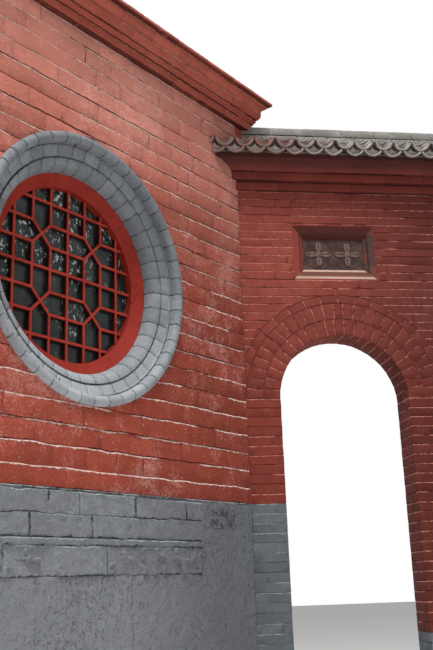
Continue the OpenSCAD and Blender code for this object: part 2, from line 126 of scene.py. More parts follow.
class Pot:
    """A pot of paint: one material, to which nodes are added as they are used."""

    def __init__(self, name):
        self.material = bpy.data.materials.new(name)
        self.material.use_nodes = True
        self.tree = self.material.node_tree
        self.shader = self.tree.nodes["Principled BSDF"]
        self.shader.inputs["Specular IOR Level"].default_value = 0.2
        self.place = self.add("ShaderNodeTexCoord", out="Object")

    def feed(self, socket, value):
        """Links a wire to an input, or sets the input to a number or a colour."""
        if isinstance(value, Wire):
            self.tree.links.new(value.socket, socket)
        else:
            socket.default_value = value

    def add(self, kind, settings=None, inputs=None, out=0):
        """Adds a node: its settings first, then the number, colour or wire of each input."""
        node = self.tree.nodes.new(kind)
        for key, value in (settings or {}).items():
            setattr(node, key, value)
        for key, value in (inputs or {}).items():
            self.feed(node.inputs[key], value)
        return Wire(self, node.outputs[out])

    def math(self, operation, first, second=0.0):
        """A Math node on two wires or numbers."""
        return self.add("ShaderNodeMath", {"operation": operation}, {0: first, 1: second})

    def noise(self, scale, detail=3.0, rough=0.55, at=None):
        """Noise from 0 to 1 on the object's own coordinates, scale in lumps a metre."""
        return self.add("ShaderNodeTexNoise", {}, {
            "Vector": at or self.place, "Scale": scale, "Detail": detail, "Roughness": rough})

    def stretched(self, x, y, z):
        """The object's coordinates, squeezed along each axis, so that a noise on them runs in streaks."""
        return self.add("ShaderNodeMapping", {}, {"Vector": self.place, "Scale": (x, y, z)})

    def mix(self, share, first, second):
        """The first colour at share 0, the second at 1, and a mixture between."""
        return self.add("ShaderNodeMix", {"data_type": "RGBA"}, {0: share, 6: first, 7: second}, out=2)

    def scaled(self, shade, factor):
        """A colour made lighter or darker by a wire."""
        shade = shade if isinstance(shade, Wire) else shade[:3]
        return self.add("ShaderNodeVectorMath", {"operation": "SCALE"}, {0: shade, "Scale": factor})

    def band(self, value, low, high):
        """0 below low, 1 above high, and a smooth step between."""
        return self.add("ShaderNodeMapRange", {"interpolation_type": "SMOOTHSTEP"}, {
            "Value": value, "From Min": low, "From Max": high})

    def split(self, vector):
        """The three numbers of a vector."""
        node = self.add("ShaderNodeSeparateXYZ", {}, {0: vector}).socket.node
        return [Wire(self, output) for output in node.outputs]

    def marks(self):
        """The numbers that a point carries: the tone of its brick, and how far it lies, in metres, under the
        brick's upper edge, over its lower edge, and from its left and right ends."""
        first, second = (self.add("ShaderNodeAttribute", {"attribute_name": name}, out="Vector")
                         for name in ("mark", "ends"))
        return (self.split(first) + self.split(second))[:5]

    def done(self, color, rough, bump=None, deep=0.001):
        """Joins colour, roughness and bump to the shader; deep is the bump's height in metres."""
        self.feed(self.shader.inputs["Base Color"], color)
        self.feed(self.shader.inputs["Roughness"], rough)
        if bump:
            normal = self.add("ShaderNodeBump", {}, {"Height": bump, "Distance": deep, "Strength": 1.0})
            self.feed(self.shader.inputs["Normal"], normal)
        return self.material


def shade(red, green, blue):
    """A colour as given, 0 to 255, turned into the linear light that a shader counts in."""
    light = [(c / 255 / 12.92) if c < 11 else ((c / 255 + 0.055) / 1.055) ** 2.4 for c in (red, green, blue)]
    return (*light, 1.0)


def limewash(name, shades, span, wear_and_light, specks=0.5, deep=0.004, wide=0.007, pace=2.2, dim=(0.0, 1.0, 0.0),
             uneven=0.18, rough=0.5, crack_w=0.003, lip_shadow=0.0, torn=0.35):
    """Matt limewash. The shades are those at the foot and the top of span, then the pale of dust, chips and
    painted highlight, and the dark of joints and of painted shade. A slow noise runs along the courses.
    Where it is high the upper edge of a brick has a pale, ragged lip, partly thinned wash and partly painted
    highlight, and where it is low a dark line runs along its foot, a painted shadow under the brick above.
    The tuple after span says how much of the wall has such lips, such painted foot shadows and dark upright
    joints. Wide is how wide a lip is, pace how fast the slow noise changes, specks how much of the coat is
    dusty, chipped and pitted, the pits painted dark as shade, and deep the height of its bump. Dim is two
    places along X, in metres from the corner, between which the coat grows darker, and by what share.
    Uneven is how much the bricks differ in tone, rough how deep the lumps of a thumb's width are, crack_w
    how wide the upright joints are, torn how ragged, and the last how dark a lip along the top of a course
    is painted, as the shadow that tiles cast on it."""
    pot = Pot(name)
    low, high, pale, dark = (shade(*mixed) for mixed in shades)
    lips, shadows, ends = wear_and_light
    tone, under_top, over_foot, from_left, from_right = pot.marks()
    x, _, z = pot.split(pot.place)
    cloud = pot.noise(1.1, 4.0)
    mottle = pot.noise(9.0, 6.0, 0.65)
    grit = pot.noise(75.0, 5.0, 0.75)
    ragged = pot.noise(34.0, 5.0, 0.7)
    brushed = pot.noise(1.0, 5.0, 0.65, at=pot.stretched(9.0, 9.0, 42.0))
    along = pot.noise(1.0, 3.0, 0.6, at=pot.stretched(pace, pace, pace * 3.6)) + (ragged - 0.5) * 0.12
    rise = pot.band(z + (cloud - 0.5) * (span[1] - span[0]) * 0.5, span[0], span[1])
    dimmed = pot.band(x + (cloud - 0.5) * 0.5, corner[0] + dim[0], corner[0] + dim[1]) * dim[2]
    bright = 1 - uneven + tone * uneven + (mottle - 0.5) * 0.34 + (cloud - 0.5) * 0.30 + (grit - 0.5) * 0.5
    coat = pot.scaled(pot.mix(rise, low, high), (bright + (brushed - 0.5) * 0.2) * (1 - dimmed))
    dusty = pot.band(mottle * 0.5 + cloud * 0.5 + (grit - 0.5) * 0.8, 0.50, 0.68)
    coat = pot.mix(dusty * 0.32 * specks, coat, pale)
    coat = pot.mix(pot.band(grit * 0.6 + ragged * 0.4, 0.61, 0.66) * 0.9 * specks, coat, pale)
    play = (ragged - 0.5) * 0.034 + (grit - 0.5) * 0.008
    # The pale lip along a brick's upper edge is partly thinned wash and partly painted highlight.
    worn_and_lit = pot.band(along, 0.58 - lips * 0.14, 0.61 - lips * 0.14)
    lip = (1 - pot.band(under_top + play, wide * 0.45, wide)) * worn_and_lit
    # The dark line along a brick's foot is painted shadow under the brick above.
    whole = pot.band(along, 0.38 + shadows * 0.12, 0.41 + shadows * 0.12)
    dip = (1 - pot.band(over_foot + play * (0.15 + torn), 0.001, 0.0045)) * (1 - whole)
    side = pot.math("MINIMUM", from_left, from_right)
    cracked = pot.band(pot.noise(7.0, 3.0), 0.58 - ends * 0.2, 0.63 - ends * 0.2)
    crack = (1 - pot.band(side + play * torn, 0.0002, crack_w)) * cracked
    near = 1 - pot.band(pot.math("MINIMUM", side, under_top), 0.008, 0.035)
    chips = pot.band(ragged * 0.5 + grit * 0.5, 0.575, 0.61) * near
    coat = pot.mix(lip * 0.9, pot.mix(chips * 0.8 * specks, coat, pale), pale)
    # A dark lip along the top of a course: painted shadow cast by the tiles.
    if lip_shadow:
        coat = pot.mix((1 - pot.band(under_top, 0.034, 0.042)) * lip_shadow, coat, dark)
    # The pits are painted dark, as shade in them.
    pits = pot.band(1 - grit * 0.5 - ragged * 0.5, 0.62, 0.67)
    for stain in (dip * 0.8, crack * 0.7, pits * 0.8 * specks):
        coat = pot.mix(stain, coat, dark)
    relief = mottle * 0.8 + ragged * rough + grit * 0.35 + (lip + chips) * 0.5
    return pot.done(coat, 0.84 + (grit - 0.5) * 0.16, relief - dip - crack * 0.6 - pits * 0.8, deep)


# The hall wall's bricks. They are big old bricks, almost half a metre long, laid in level courses with
# thin bed joints. Their edges are broken and wavy, and many are halves.
hall_course, hall_bed, hall_brick, hall_proud, hall_ease = 0.1173, 0.005, 0.470, 0.005, 0.004
first_bed = dado_top - 0.013
window_low, window_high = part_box("surround_outer_roll")
glass_mid = np.mean(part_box("glass"), axis=0)
window_x, window_z = (glass_mid - corner) @ along_hall, glass_mid[2]
roll_r = (window_high[2] - window_low[2]) / 2


def grain(a, b, c, size, seed):
    """Smooth random numbers from -1 to 1. The corners of a lattice of cubes get hashed numbers, and a point
    takes its cube's eight, each weighed by a smooth step of the point's place between them."""
    place = np.stack(np.broadcast_arrays(a, b, c), -1) / size
    cell = np.floor(place).astype(np.int64)
    part = place - cell
    part = part * part * (3 - 2 * part)
    total = 0.0
    for step in np.ndindex(2, 2, 2):
        key = (cell + step) @ np.array([73856093, 19349663, 83492791]) + seed * 1000003
        key = ((key ^ (key >> 13)) * 1274126177) & 0xFFFFFFFF
        key = (key ^ (key >> 15)) & 0xFFFF
        total = total + np.where(step, part, 1 - part).prod(-1) * (key / 32767.5 - 1)
    return total


def lay_courses(left, right, beds, length, joint, halves, seed, upright=0.0002):
    """Bricks as rows of left, right, bottom, top. Each course starts at a random place in a run of wholes
    and halves, halves being their share, and a brick whose upright joint would stand over the one below is
    moved on."""
    rng = np.random.default_rng(seed)
    rows, under = [], np.array([-99.0])
    gaps = joint * rng.choice([0.0, 0.1, 0.5], len(beds)) / 2
    for low, high in zip(beds[:-1] + gaps[:-1], beds[1:] - gaps[1:]):
        ends = [left]
        step = length * rng.uniform(0.35, 1.0)
        while ends[-1] + step < right - length * 0.3:
            end = ends[-1] + step
            if np.abs(under - end).min() < length * 0.12:
                end += length * 0.2
            ends.append(end)
            step = length * (0.5 if rng.random() < halves else 1.0) * rng.uniform(0.96, 1.04)
        ends.append(right)
        rows += [(a + upright * (a > left), b - upright * (b < right), low, high)
                 for a, b in zip(ends[:-1], ends[1:])]
        under = np.array(ends[1:-1] or [-99.0])
    return np.array(rows)


def eased(count):
    """Places across a brick: a share of its width, a share of the easing, and how far up the face is. The
    three outer places at each side make the eased edge."""
    inner = np.linspace(0, 1, count + 2)[1:-1]
    share = np.concatenate([[0, 0, 0], inner, [1, 1, 1]])
    inset = np.concatenate([[0, 0.3, 1], 1 - 2 * inner, [-1, -0.3, 0]])
    lift = np.concatenate([[0, 0.75, 1], np.ones(count), [1, 0.75, 0]])
    return share, inset, lift


def filled(lift, first, last):
    """The lifts across a brick, with the joints at its two sides filled up to a share of their depth."""
    middle = np.broadcast_to(lift[3:-3], (len(first), len(lift) - 6))
    return np.concatenate([np.maximum(lift[:3], first), middle, np.maximum(lift[-3:], last)], 1)


def grid_faces(rows, columns):
    """The quads of a grid whose points are numbered row by row, and the loop of numbers round its rim."""
    number = np.arange(rows * columns).reshape(rows, columns)
    cell = np.stack([number[:-1, :-1], number[:-1, 1:], number[1:, 1:], number[1:, :-1]], -1).reshape(-1, 4)
    return cell, np.concatenate([number[0, :-1], number[:-1, -1], number[-1, :0:-1], number[:0:-1, 0]])


def slabs(rows, place, cells, ease, proud, seed, wave=0.002, relief=0.0006, hole=None, sunk=0.004, uneven=0.0,
          closed=0.85, lean=0.0):
    """Bricks as closed slabs on a face. Each face is a grid lifted by proud, eased down at its edges to sunk
    behind the wall. Grain moves the outline by wave and the face by relief, or relief is a function of the
    place. A hole is a circle's middle, level and radius, and rows of the grid stop at it. Uneven is how far
    one course stands before the next, lean how far its upper edge stands out, and closed is the share of
    joints that the wash has filled."""
    rng = np.random.default_rng(seed)
    rows = np.atleast_2d(rows)
    course = np.unique(rows[:, 2].round(2), return_inverse=True)[1]
    lead = np.clip(rng.normal(0, 1, course.max() + 1), -1.6, 1.6)[course] * uneven
    leans = rng.choice([1.0, 0.7, -0.8], course.max() + 1)[course] * lean
    share_a, inset_a, lift_a = eased(cells[0])
    share_b, inset_b, lift_b = eased(cells[1])
    low, high = rows[:, 2, None], rows[:, 3, None]
    b = low * (1 - share_b) + high * share_b + inset_b * np.minimum(ease, (high - low) * 0.3)
    if hole and hole[1] + hole[2] < high.max():
        share, crown = (b - low) / (high - low), (hole[1] + hole[2] - low) / (high - low)
        over = crown + (1 - crown) * (share * 4 - 3)
        crowded = np.where(share < 0.75, crown * (1 - (1 - share / 0.75) ** 2), over)
        b = np.where((crown > 0.1) & (crown < 0.98), low + (high - low) * crowded, b)
    left, right = (np.repeat(rows[:, i, None], b.shape[1], 1) for i in (0, 1))
    if hole:
        middle, level, radius = hole
        half = np.sqrt(np.maximum(radius ** 2 - (b - level) ** 2, 0))
        west = np.repeat((rows.T[:2].mean(0) < middle)[:, None], b.shape[1], 1)
        right = np.where((half > 0) & west, np.minimum(right, middle - half), right)
        left = np.where((half > 0) & ~west, np.maximum(left, middle + half), left)
        keep = (right - left).max(1) > 0.03
        right = np.where(west, np.maximum(right, left + 0.002), right)
        left = np.where(west, left, np.minimum(left, right - 0.002))
        kept = (rows, b, left, right, lead, leans, course)
        rows, b, left, right, lead, leans, course = (values[keep] for values in kept)
    width = (right - left)[..., None]
    a = left[..., None] + width * share_a + inset_a * np.minimum(ease, width * 0.3)
    b = np.broadcast_to(b[..., None], a.shape)
    count = len(rows)
    ends = np.where(rng.random((count, 2)) < closed, 1.0 if closed >= 1 else 0.85, 0.0)
    beds = np.where(rng.random((course.max() + 1, 2)) < closed, 0.75, 0.0)[course]
    lift_a, lift_b = filled(lift_a, ends[:, :1], ends[:, 1:]), filled(lift_b, beds[:, :1], beds[:, 1:])
    lift = np.minimum(lift_b[..., None], lift_a[:, None])
    tone = rng.random((count, 1, 1))
    tilt = rng.normal(0, 0.0006, (2, count, 1, 1))
    tilt[1] += leans[:, None, None]
    face = proud * rng.uniform(0.85, 1.1, (count, 1, 1))
    face = face + tilt[0] * (share_a - 0.5) + tilt[1] * (share_b[:, None] - 0.5)
    face = np.maximum(face + lead[:, None, None], proud * 0.3)
    if callable(relief):
        face = face + relief(a, b)
    else:
        face = face + relief * (grain(a, b, 0.0, 0.05, seed) + grain(a, b, 1.0, 0.017, seed))
    moved_a = a + wave * grain(a, b, 2.0, 0.07, seed) + wave * 0.5 * grain(a, b, 3.0, 0.02, seed)
    moved_b = b + wave * grain(a, b, 4.0, 0.09, seed) + wave * 0.6 * grain(a, b, 5.0, 0.022, seed)
    points = place(moved_a, moved_b, -sunk + lift * (sunk + face))
    marks = np.stack(np.broadcast_arrays(tone, rows[:, 3, None, None] - b, b - rows[:, 2, None, None],
                                         a - left[..., None], right[..., None] - a), -1)
    cell, rim = grid_faces(*lift.shape[1:])
    base = np.arange(count)[:, None, None] * lift[0].size
    inner_row = rows[len(rows) // 2]
    probe = np.concatenate([np.zeros((1, 3)), np.eye(3)]).T * 1e-4
    at = place(probe[0] + inner_row[0], probe[1] + inner_row[2], probe[2])
    order = 1 if np.linalg.det(at[1:] - at[0]) > 0 else -1
    return points.reshape(-1, 3), [(cell + base).reshape(-1, 4)[:, ::order],
                                   (rim[None] + base[:, 0])[:, ::-order]], marks.reshape(-1, 5)


def joined(*shapes):
    """Several shapes as one: their points one after another, with the face numbers moved on."""
    starts = np.cumsum([0] + [len(s[0]) for s in shapes])
    faces = [f + start for s, start in zip(shapes, starts) for f in s[1]]
    return np.concatenate([s[0] for s in shapes]), faces, np.concatenate([s[2] for s in shapes])


def add_piece(name, shape, material, slot, *replaced):
    """Puts the arrays of a shape into a mesh that lies in its place, and lets it ride on the masonry."""
    points, faces, marks = shape
    mesh = bpy.data.meshes.new(name)
    mesh.vertices.add(len(points))
    mesh.vertices.foreach_set("co", np.clip(points, *np.array(cad_box, float)).ravel().astype(np.float32))
    corners = np.concatenate([f.ravel() for f in faces]).astype(np.int32)
    sizes = np.concatenate([np.full(len(f), f.shape[1]) for f in faces])
    mesh.loops.add(len(corners))
    mesh.loops.foreach_set("vertex_index", corners)
    mesh.polygons.add(len(sizes))
    mesh.polygons.foreach_set("loop_start", (np.cumsum(sizes) - sizes).astype(np.int32))
    mesh.update(calc_edges=True)
    marks = np.pad(marks, ((0, 0), (0, 6 - marks.shape[1])), constant_values=0.05)
    for mark_name, numbers in (("mark", marks[:, :3]), ("ends", marks[:, 3:])):
        mark = mesh.attributes.new(mark_name, "FLOAT_VECTOR", "POINT")
        mark.data.foreach_set("vector", numbers.ravel().astype(np.float32))
    mesh.shade_smooth()
    mesh.set_sharp_from_angle(angle=math.radians(38))
    mesh.materials.append(material)
    piece = bpy.data.objects.new(name, mesh)
    bpy.context.scene.collection.objects.link(piece)
    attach(piece, "root")
    if replaced:
        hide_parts(*replaced)


def split_at(rows, middle, low, top, ease=0.02, joint=0.002):
    """Cuts every brick that crosses an upright line between two levels, so that a round hole can part it."""
    crossing = (rows[:, 0] < middle - ease) & (rows[:, 1] > middle + ease)
    crossing &= (rows[:, 2] < top) & (rows[:, 3] > low)
    west, east = rows[crossing].copy(), rows[crossing].copy()
    west[:, 1], east[:, 0] = middle - joint, middle + joint
    return np.concatenate([rows[~crossing], west, east])


def hall_rows(left, right, halves, seed):
    """The courses of one face of the hall wall, the lowest of them cut level with the dado."""
    rows = lay_courses(left, right, hall_beds, hall_brick, hall_bed, halves, seed)
    rows[:, 2] = np.maximum(rows[:, 2], dado_top)
    return rows


def holed_face(rows, place, cells, seed, radius, gap, **how):
    """Bricks of a hall face, left out where the round window is, as far as a gap beyond its radius."""
    rows = split_at(rows, window_x, window_z - radius, window_z + radius)
    hole = window_x, window_z, radius + gap
    return slabs(rows, place, cells, hall_ease, hall_proud, seed, hole=hole, uneven=0.001, **how)


# Paler towards the top of the wall: painted light. Darker towards the corner with the gate: painted shade.
hall_red = limewash("hall_limewash", [(166, 74, 56), (236, 158, 140), (240, 206, 197), (66, 22, 18)],
                    span=(3.1, 5.2), wear_and_light=(1.2, 1.15, 0.12), specks=0.7, deep=0.014, wide=0.011, pace=1.5,
                    dim=(-1.2, 0.1, 0.30), rough=1.3)
hall_beds = first_bed + hall_course * np.arange(25)
hall_beds[-1] = hall_top
back_reveal_r = 0.596
inner_foot = corner_lap - hall_t
end_gap, corner_gap = 0.006, 0.003
under_roll, behind_reveal = -0.012, 0.004
front_shape = holed_face(hall_rows(-hall_run, -corner_gap, 0.4, 11), hall_front, (5, 1), 12,
                         roll_r, under_roll, wave=0.006, relief=0.0016, lean=0.004)
add_piece("hall_bricks_front", front_shape, hall_red, "hall_brick")
back_shape = holed_face(hall_rows(-hall_run + end_gap, inner_foot, 0.3, 21), hall_back, (4, 1), 22,
                        back_reveal_r, behind_reveal, wave=0.003, relief=0.0009, lean=0.003)
add_piece("hall_bricks_back", back_shape, hall_red, "hall_brick")
return_start = (gate_t + corner[1] - hall_corner[1]) / math.cos(turn) + end_gap
return_shape = joined(*(
    slabs(hall_rows(start, return_run, 0.3, seed), place, (4, 1), 0.003, hall_proud, seed + 2, wave=0.003)
    for start, place, seed in ((return_start, return_out, 31), (hall_t, return_in, 32))))
add_piece("hall_bricks_return", return_shape, hall_red, "hall_brick")


# The core of the walls. Behind the faces of the bricks the joints are filled with mortar under the same
# wash, and at the plain party ends the cut bricks show flush.
def core(name, mortar_shade, brick_shade, course, length, rise):
    """Mortar with the flush bricks of the party ends: a brick's number in its course and its course make
    the pattern, with every other course shifted by half a brick."""
    pot = Pot(name)
    mortar_shade, brick_shade = shade(*mortar_shade), shade(*brick_shade)
    cloud = pot.noise(3.0, 5.0, 0.6)
    fine = pot.noise(70.0, 8.0, 0.7)
    x, y, z = pot.split(pot.place)
    level = (z - rise) / course
    run = (x * math.cos(turn) + y + pot.math("FLOOR", level) * length * 0.5 + 40) / length
    joint = 0.5 / (length * 90)
    from_bed, from_end = (pot.math("PINGPONG", value, 0.5) for value in (level, run))
    brick = pot.band(from_bed, 0.04, 0.09) * pot.band(from_end, joint, joint * 2.5)
    colour = pot.mix(pot.band(cloud * 0.6 + fine * 0.4, 0.42, 0.62), mortar_shade, brick_shade)
    colour = pot.mix(brick, colour, pot.scaled(brick_shade, 0.8 + cloud * 0.4))
    return pot.done(colour, 0.88, fine * 0.4 + cloud + brick * 0.8, 0.002)


def finish_nodes(material, *names):
    """Gives CAD nodes their finish."""
    for name in names:
        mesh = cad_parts[name].data
        mesh.materials.clear()
        mesh.materials.append(material)


hall_core = core("hall_core", (132, 60, 48), (150, 70, 56), hall_course, hall_brick, first_bed)
finish_nodes(hall_core, "hall_wall_corner", "hall_wall_left", "hall_wall_below", "hall_wall_above")

# The gate wall's bricks. They are thin bricks, one brick thick through the wall, with level beds. Along the
# joints run pale, wavering lines, partly thinned wash and partly painted highlight on the bricks' upper
# edges.
gate_course, gate_bed, gate_brick, gate_proud, gate_ease = 0.0628, 0.004, 0.245, 0.004, 0.0025
door_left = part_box("gate_pier_left")[1][0] - corner[0]
door_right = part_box("gate_pier_right")[0][0] - corner[0]
spring_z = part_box("gate_pier_right")[1][2]
plinth_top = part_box("gate_plinth_right")[1][2]
door_mid, door_r = (door_left + door_right) / 2, (door_right - door_left) / 2
ring_in_r, ring_out_r, hood_r = (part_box(node)[1][2] - spring_z for node in (
    "arch_ring_inner", "arch_ring_outer", "arch_hood"))
plaque_low, plaque_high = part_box("plaque_frame")
gate_red = limewash("gate_limewash", [(110, 45, 35), (126, 58, 48), (174, 112, 99), (54, 18, 15)],
                    span=(1.8, 4.4), wear_and_light=(1.1, 0.5, 0.0), specks=0.2, deep=0.0025, wide=0.0075,
                    dim=(0.2, 1.7, 0.60), uneven=0.10)


def without_box(rows, box, joint):
    """Bricks cut round a rectangle of left, right, bottom and top: what is left of each at its four sides."""
    left, right, low, high = box
    kept = []
    for a0, a1, b0, b1 in rows:
        if a1 <= left or a0 >= right or b1 <= low or b0 >= high:
            kept.append((a0, a1, b0, b1))
            continue
        between = max(a0, left - joint), min(a1, right + joint)
        pieces = [(a0, left - joint, b0, b1), (right + joint, a1, b0, b1),
                  (*between, b0, low - joint), (*between, high + joint, b1)]
        kept += [p for p in pieces if p[1] - p[0] > 0.02 and p[3] - p[2] > 0.008]
    return np.array(kept)


def beside_doorway(start, left_beds, right_beds, joint, seed):
    """The courses on both sides of the doorway, each side with beds of its own."""
    left_end, right_start = door_left + gate_proud, door_right - gate_proud
    return np.concatenate([lay_courses(start, left_end, left_beds, gate_brick, joint, 0.5, seed),
                           lay_courses(right_start, gate_run, right_beds, gate_brick, joint, 0.45, seed + 1)])


pier_beds = np.linspace(dado_top, spring_z, 12)
right_beds = np.linspace(plinth_top, spring_z, 25)
head_beds = np.linspace(spring_z, head_high[2], 26)
plaque_hole = (plaque_low[0] - corner[0], plaque_high[0] - corner[0], plaque_low[2], plaque_high[2])
front_start, back_edge = 0.004, head_low[0] - corner[0]
back_start = back_edge + 0.008
for name, place, start, seed in (("front", gate_front, front_start, 41), ("back", gate_back, back_start, 51)):
    head_rows = lay_courses(start, gate_run, head_beds, gate_brick, gate_bed, 0.45, seed)
    if name == "front":
        head_rows = without_box(head_rows, plaque_hole, 0.003)
    over_arch = head_rows[:, 2] > spring_z + hood_r - 0.004
    low_rows = beside_doorway(start, pier_beds, right_beds, gate_bed, seed + 1)
    level_rows = np.concatenate([low_rows, head_rows[over_arch]])
    round_arch = split_at(head_rows[~over_arch], door_mid, spring_z, spring_z + hood_r)
    hole = door_mid, spring_z, hood_r + 0.001
    laid = {"wave": 0.0016, "uneven": 0.0006, "lean": 0.0018}
    gate_shape = joined(
        slabs(round_arch, place, (2, 4), gate_ease, gate_proud, seed + 3, hole=hole, **laid),
        slabs(level_rows, place, (3, 0), gate_ease, gate_proud, seed + 4, **laid))
    add_piece("gate_bricks_" + name, gate_shape, gate_red, "gate_brick")
gate_core = core("gate_core", (124, 58, 48), (116, 52, 44), gate_course, gate_brick, dado_top)
finish_nodes(gate_core, "gate_pier_left", "gate_pier_right", "spandrel_left", "spandrel_right",
             "gate_wall_head", "arch_ring_inner", "arch_ring_outer", "arch_hood")


# The arch. Two rings of headers stand on end, with a band of bricks laid flat round them. The soffit and
# the jambs show the same bricks, a whole one or two halves through the wall.
def arch_face(radius, back):
    """A placer for a ring: metres along the ring at that radius, its own radius, and out of the wall."""
    y, side, start = (gate_t, 1.0, back_start) if back else (0.0, -1.0, front_start)

    def place(a, b, d):
        """The angle is a over the radius, from straight up; b is the way out from the arch's middle."""
        x = corner[0] + door_mid + b * np.sin(a / radius)
        z = spring_z + b * np.cos(a / radius)
        return np.stack([np.maximum(x, corner[0] + start), corner[1] + y + side * d, z], -1)
    return place


def ring_rows(count, inner, outer, radius, joint, seed):
    """Bricks of a half ring as rows: even steps of the half circle with a little play."""
    rng = np.random.default_rng(seed)
    ends = np.linspace(-math.pi / 2, math.pi / 2, count + 1) * radius
    ends[1:-1] += rng.normal(0, 0.0025, count - 1)
    return np.array([(a + joint / 2, b - joint / 2, inner + joint / 2, outer - joint / 2)
                     for a, b in zip(ends[:-1], ends[1:])])


def soffit_place(a, b, d):
    """The inner face of the arch: metres round it, through the wall, and in towards its middle."""
    turned = a / door_r
    return np.stack([corner[0] + door_mid + (door_r - d) * np.sin(turned), corner[1] + b,
                     spring_z + (door_r - d) * np.cos(turned)], -1)


def jamb_rows(beds):
    """Rows through the wall: a whole brick in one course and two halves in the next, not quite alike."""
    rows, joint, play = [], 0.001, 0.012
    for number, (low, high) in enumerate(zip(beds[:-1] + gate_bed / 3, beds[1:] - gate_bed / 3)):
        ends = [0.0, gate_t] if number % 2 else [0.0, gate_t / 2 + play * (number % 4 - 1), gate_t]
        rows += [(a + joint, b - joint, low, high) for a, b in zip(ends[:-1], ends[1:])]
    return np.array(rows)


def jamb_shape(beds, place, proud, seed):
    """The bricks of one jamb of the doorway."""
    return slabs(jamb_rows(beds), place, (2, 0), gate_ease, proud, seed, wave=0.001)


def on_end(shape):
    """Bricks that stand on end: the marks of their two edges change places with those of their ends."""
    points, faces, marks = shape
    return points, faces, marks[:, [0, 4, 3, 1, 2]]


radii, brick_counts, ring_joint = [door_r - gate_proud, ring_in_r, ring_out_r, hood_r], (23, 27, 18), 0.0035
ring_shapes = []
for back in (0, 1):
    for count, inner, outer, seed in zip(brick_counts, radii[:-1], radii[1:], (61, 62, 63)):
        radius = (inner + outer) / 2
        rows = ring_rows(count, inner, outer, radius, ring_joint, seed + 5 * back)
        place = arch_face(radius, back)
        ring_shapes.append(slabs(rows, place, (0, 2), gate_ease, gate_proud, seed + 7 * back, wave=0.0014))
arch_red = limewash("arch_limewash", [(110, 46, 36), (112, 51, 42), (172, 108, 94), (54, 18, 15)],
                    span=(1.8, 4.4), wear_and_light=(1.0, 0.5, 0.4), specks=0.2, deep=0.0025, wide=0.006, pace=5.0,
                    dim=(0.2, 2.0, 0.50), uneven=0.12)
add_piece("arch_bricks", on_end(joined(*ring_shapes)), arch_red, "gate_brick")
soffit_rows = jamb_rows(np.linspace(-math.pi / 2, math.pi / 2, 24) * door_r)[:, [2, 3, 0, 1]]
soffit_proud, jamb_proud = 0.003, 0.0035
left_jamb = flat_face(corner + door_left * along_gate, into_gate, along_gate)
right_jamb = flat_face(corner + door_right * along_gate, into_gate, -along_gate)
doorway_shape = joined(
    on_end(slabs(soffit_rows, soffit_place, (0, 2), gate_ease, soffit_proud, 72, wave=0.001)),
    jamb_shape(pier_beds, left_jamb, jamb_proud, 74),
    jamb_shape(right_beds, right_jamb, jamb_proud, 76))
add_piece("doorway_bricks", doorway_shape, gate_red, "gate_brick")

# The plinths and the dado. Up to shoulder height the walls are painted grey. The hall's dado shows three
# courses of big bricks over a thin ledge; below it, and at its right end, it is rendered.
# Darker towards the corner with the gate: painted shade.
dado_grey = limewash("dado_paint", [(150, 153, 158), (146, 149, 154), (190, 198, 203), (26, 29, 32)],
                     span=(0.0, 2.0), wear_and_light=(0.9, 1.0, 0.5), specks=0.6, deep=0.028, wide=0.010,
                     dim=(-1.2, -0.3, 0.30), uneven=0.06, rough=1.6, crack_w=0.008, torn=1.1)
plinth_grey = limewash("plinth_paint", [(91, 96, 101), (87, 92, 97), (140, 148, 152), (50, 56, 60)],
                       span=(0.0, 2.0), wear_and_light=(0.3, 0.3, 0.2), specks=0.2, deep=0.0025, wide=0.006)
ledge_low, ledge_high, render_top = dado_top - 0.289, dado_top - 0.248, dado_top - 0.441
crack_x, render_x = -1.165, -0.545
seam = 0.0002


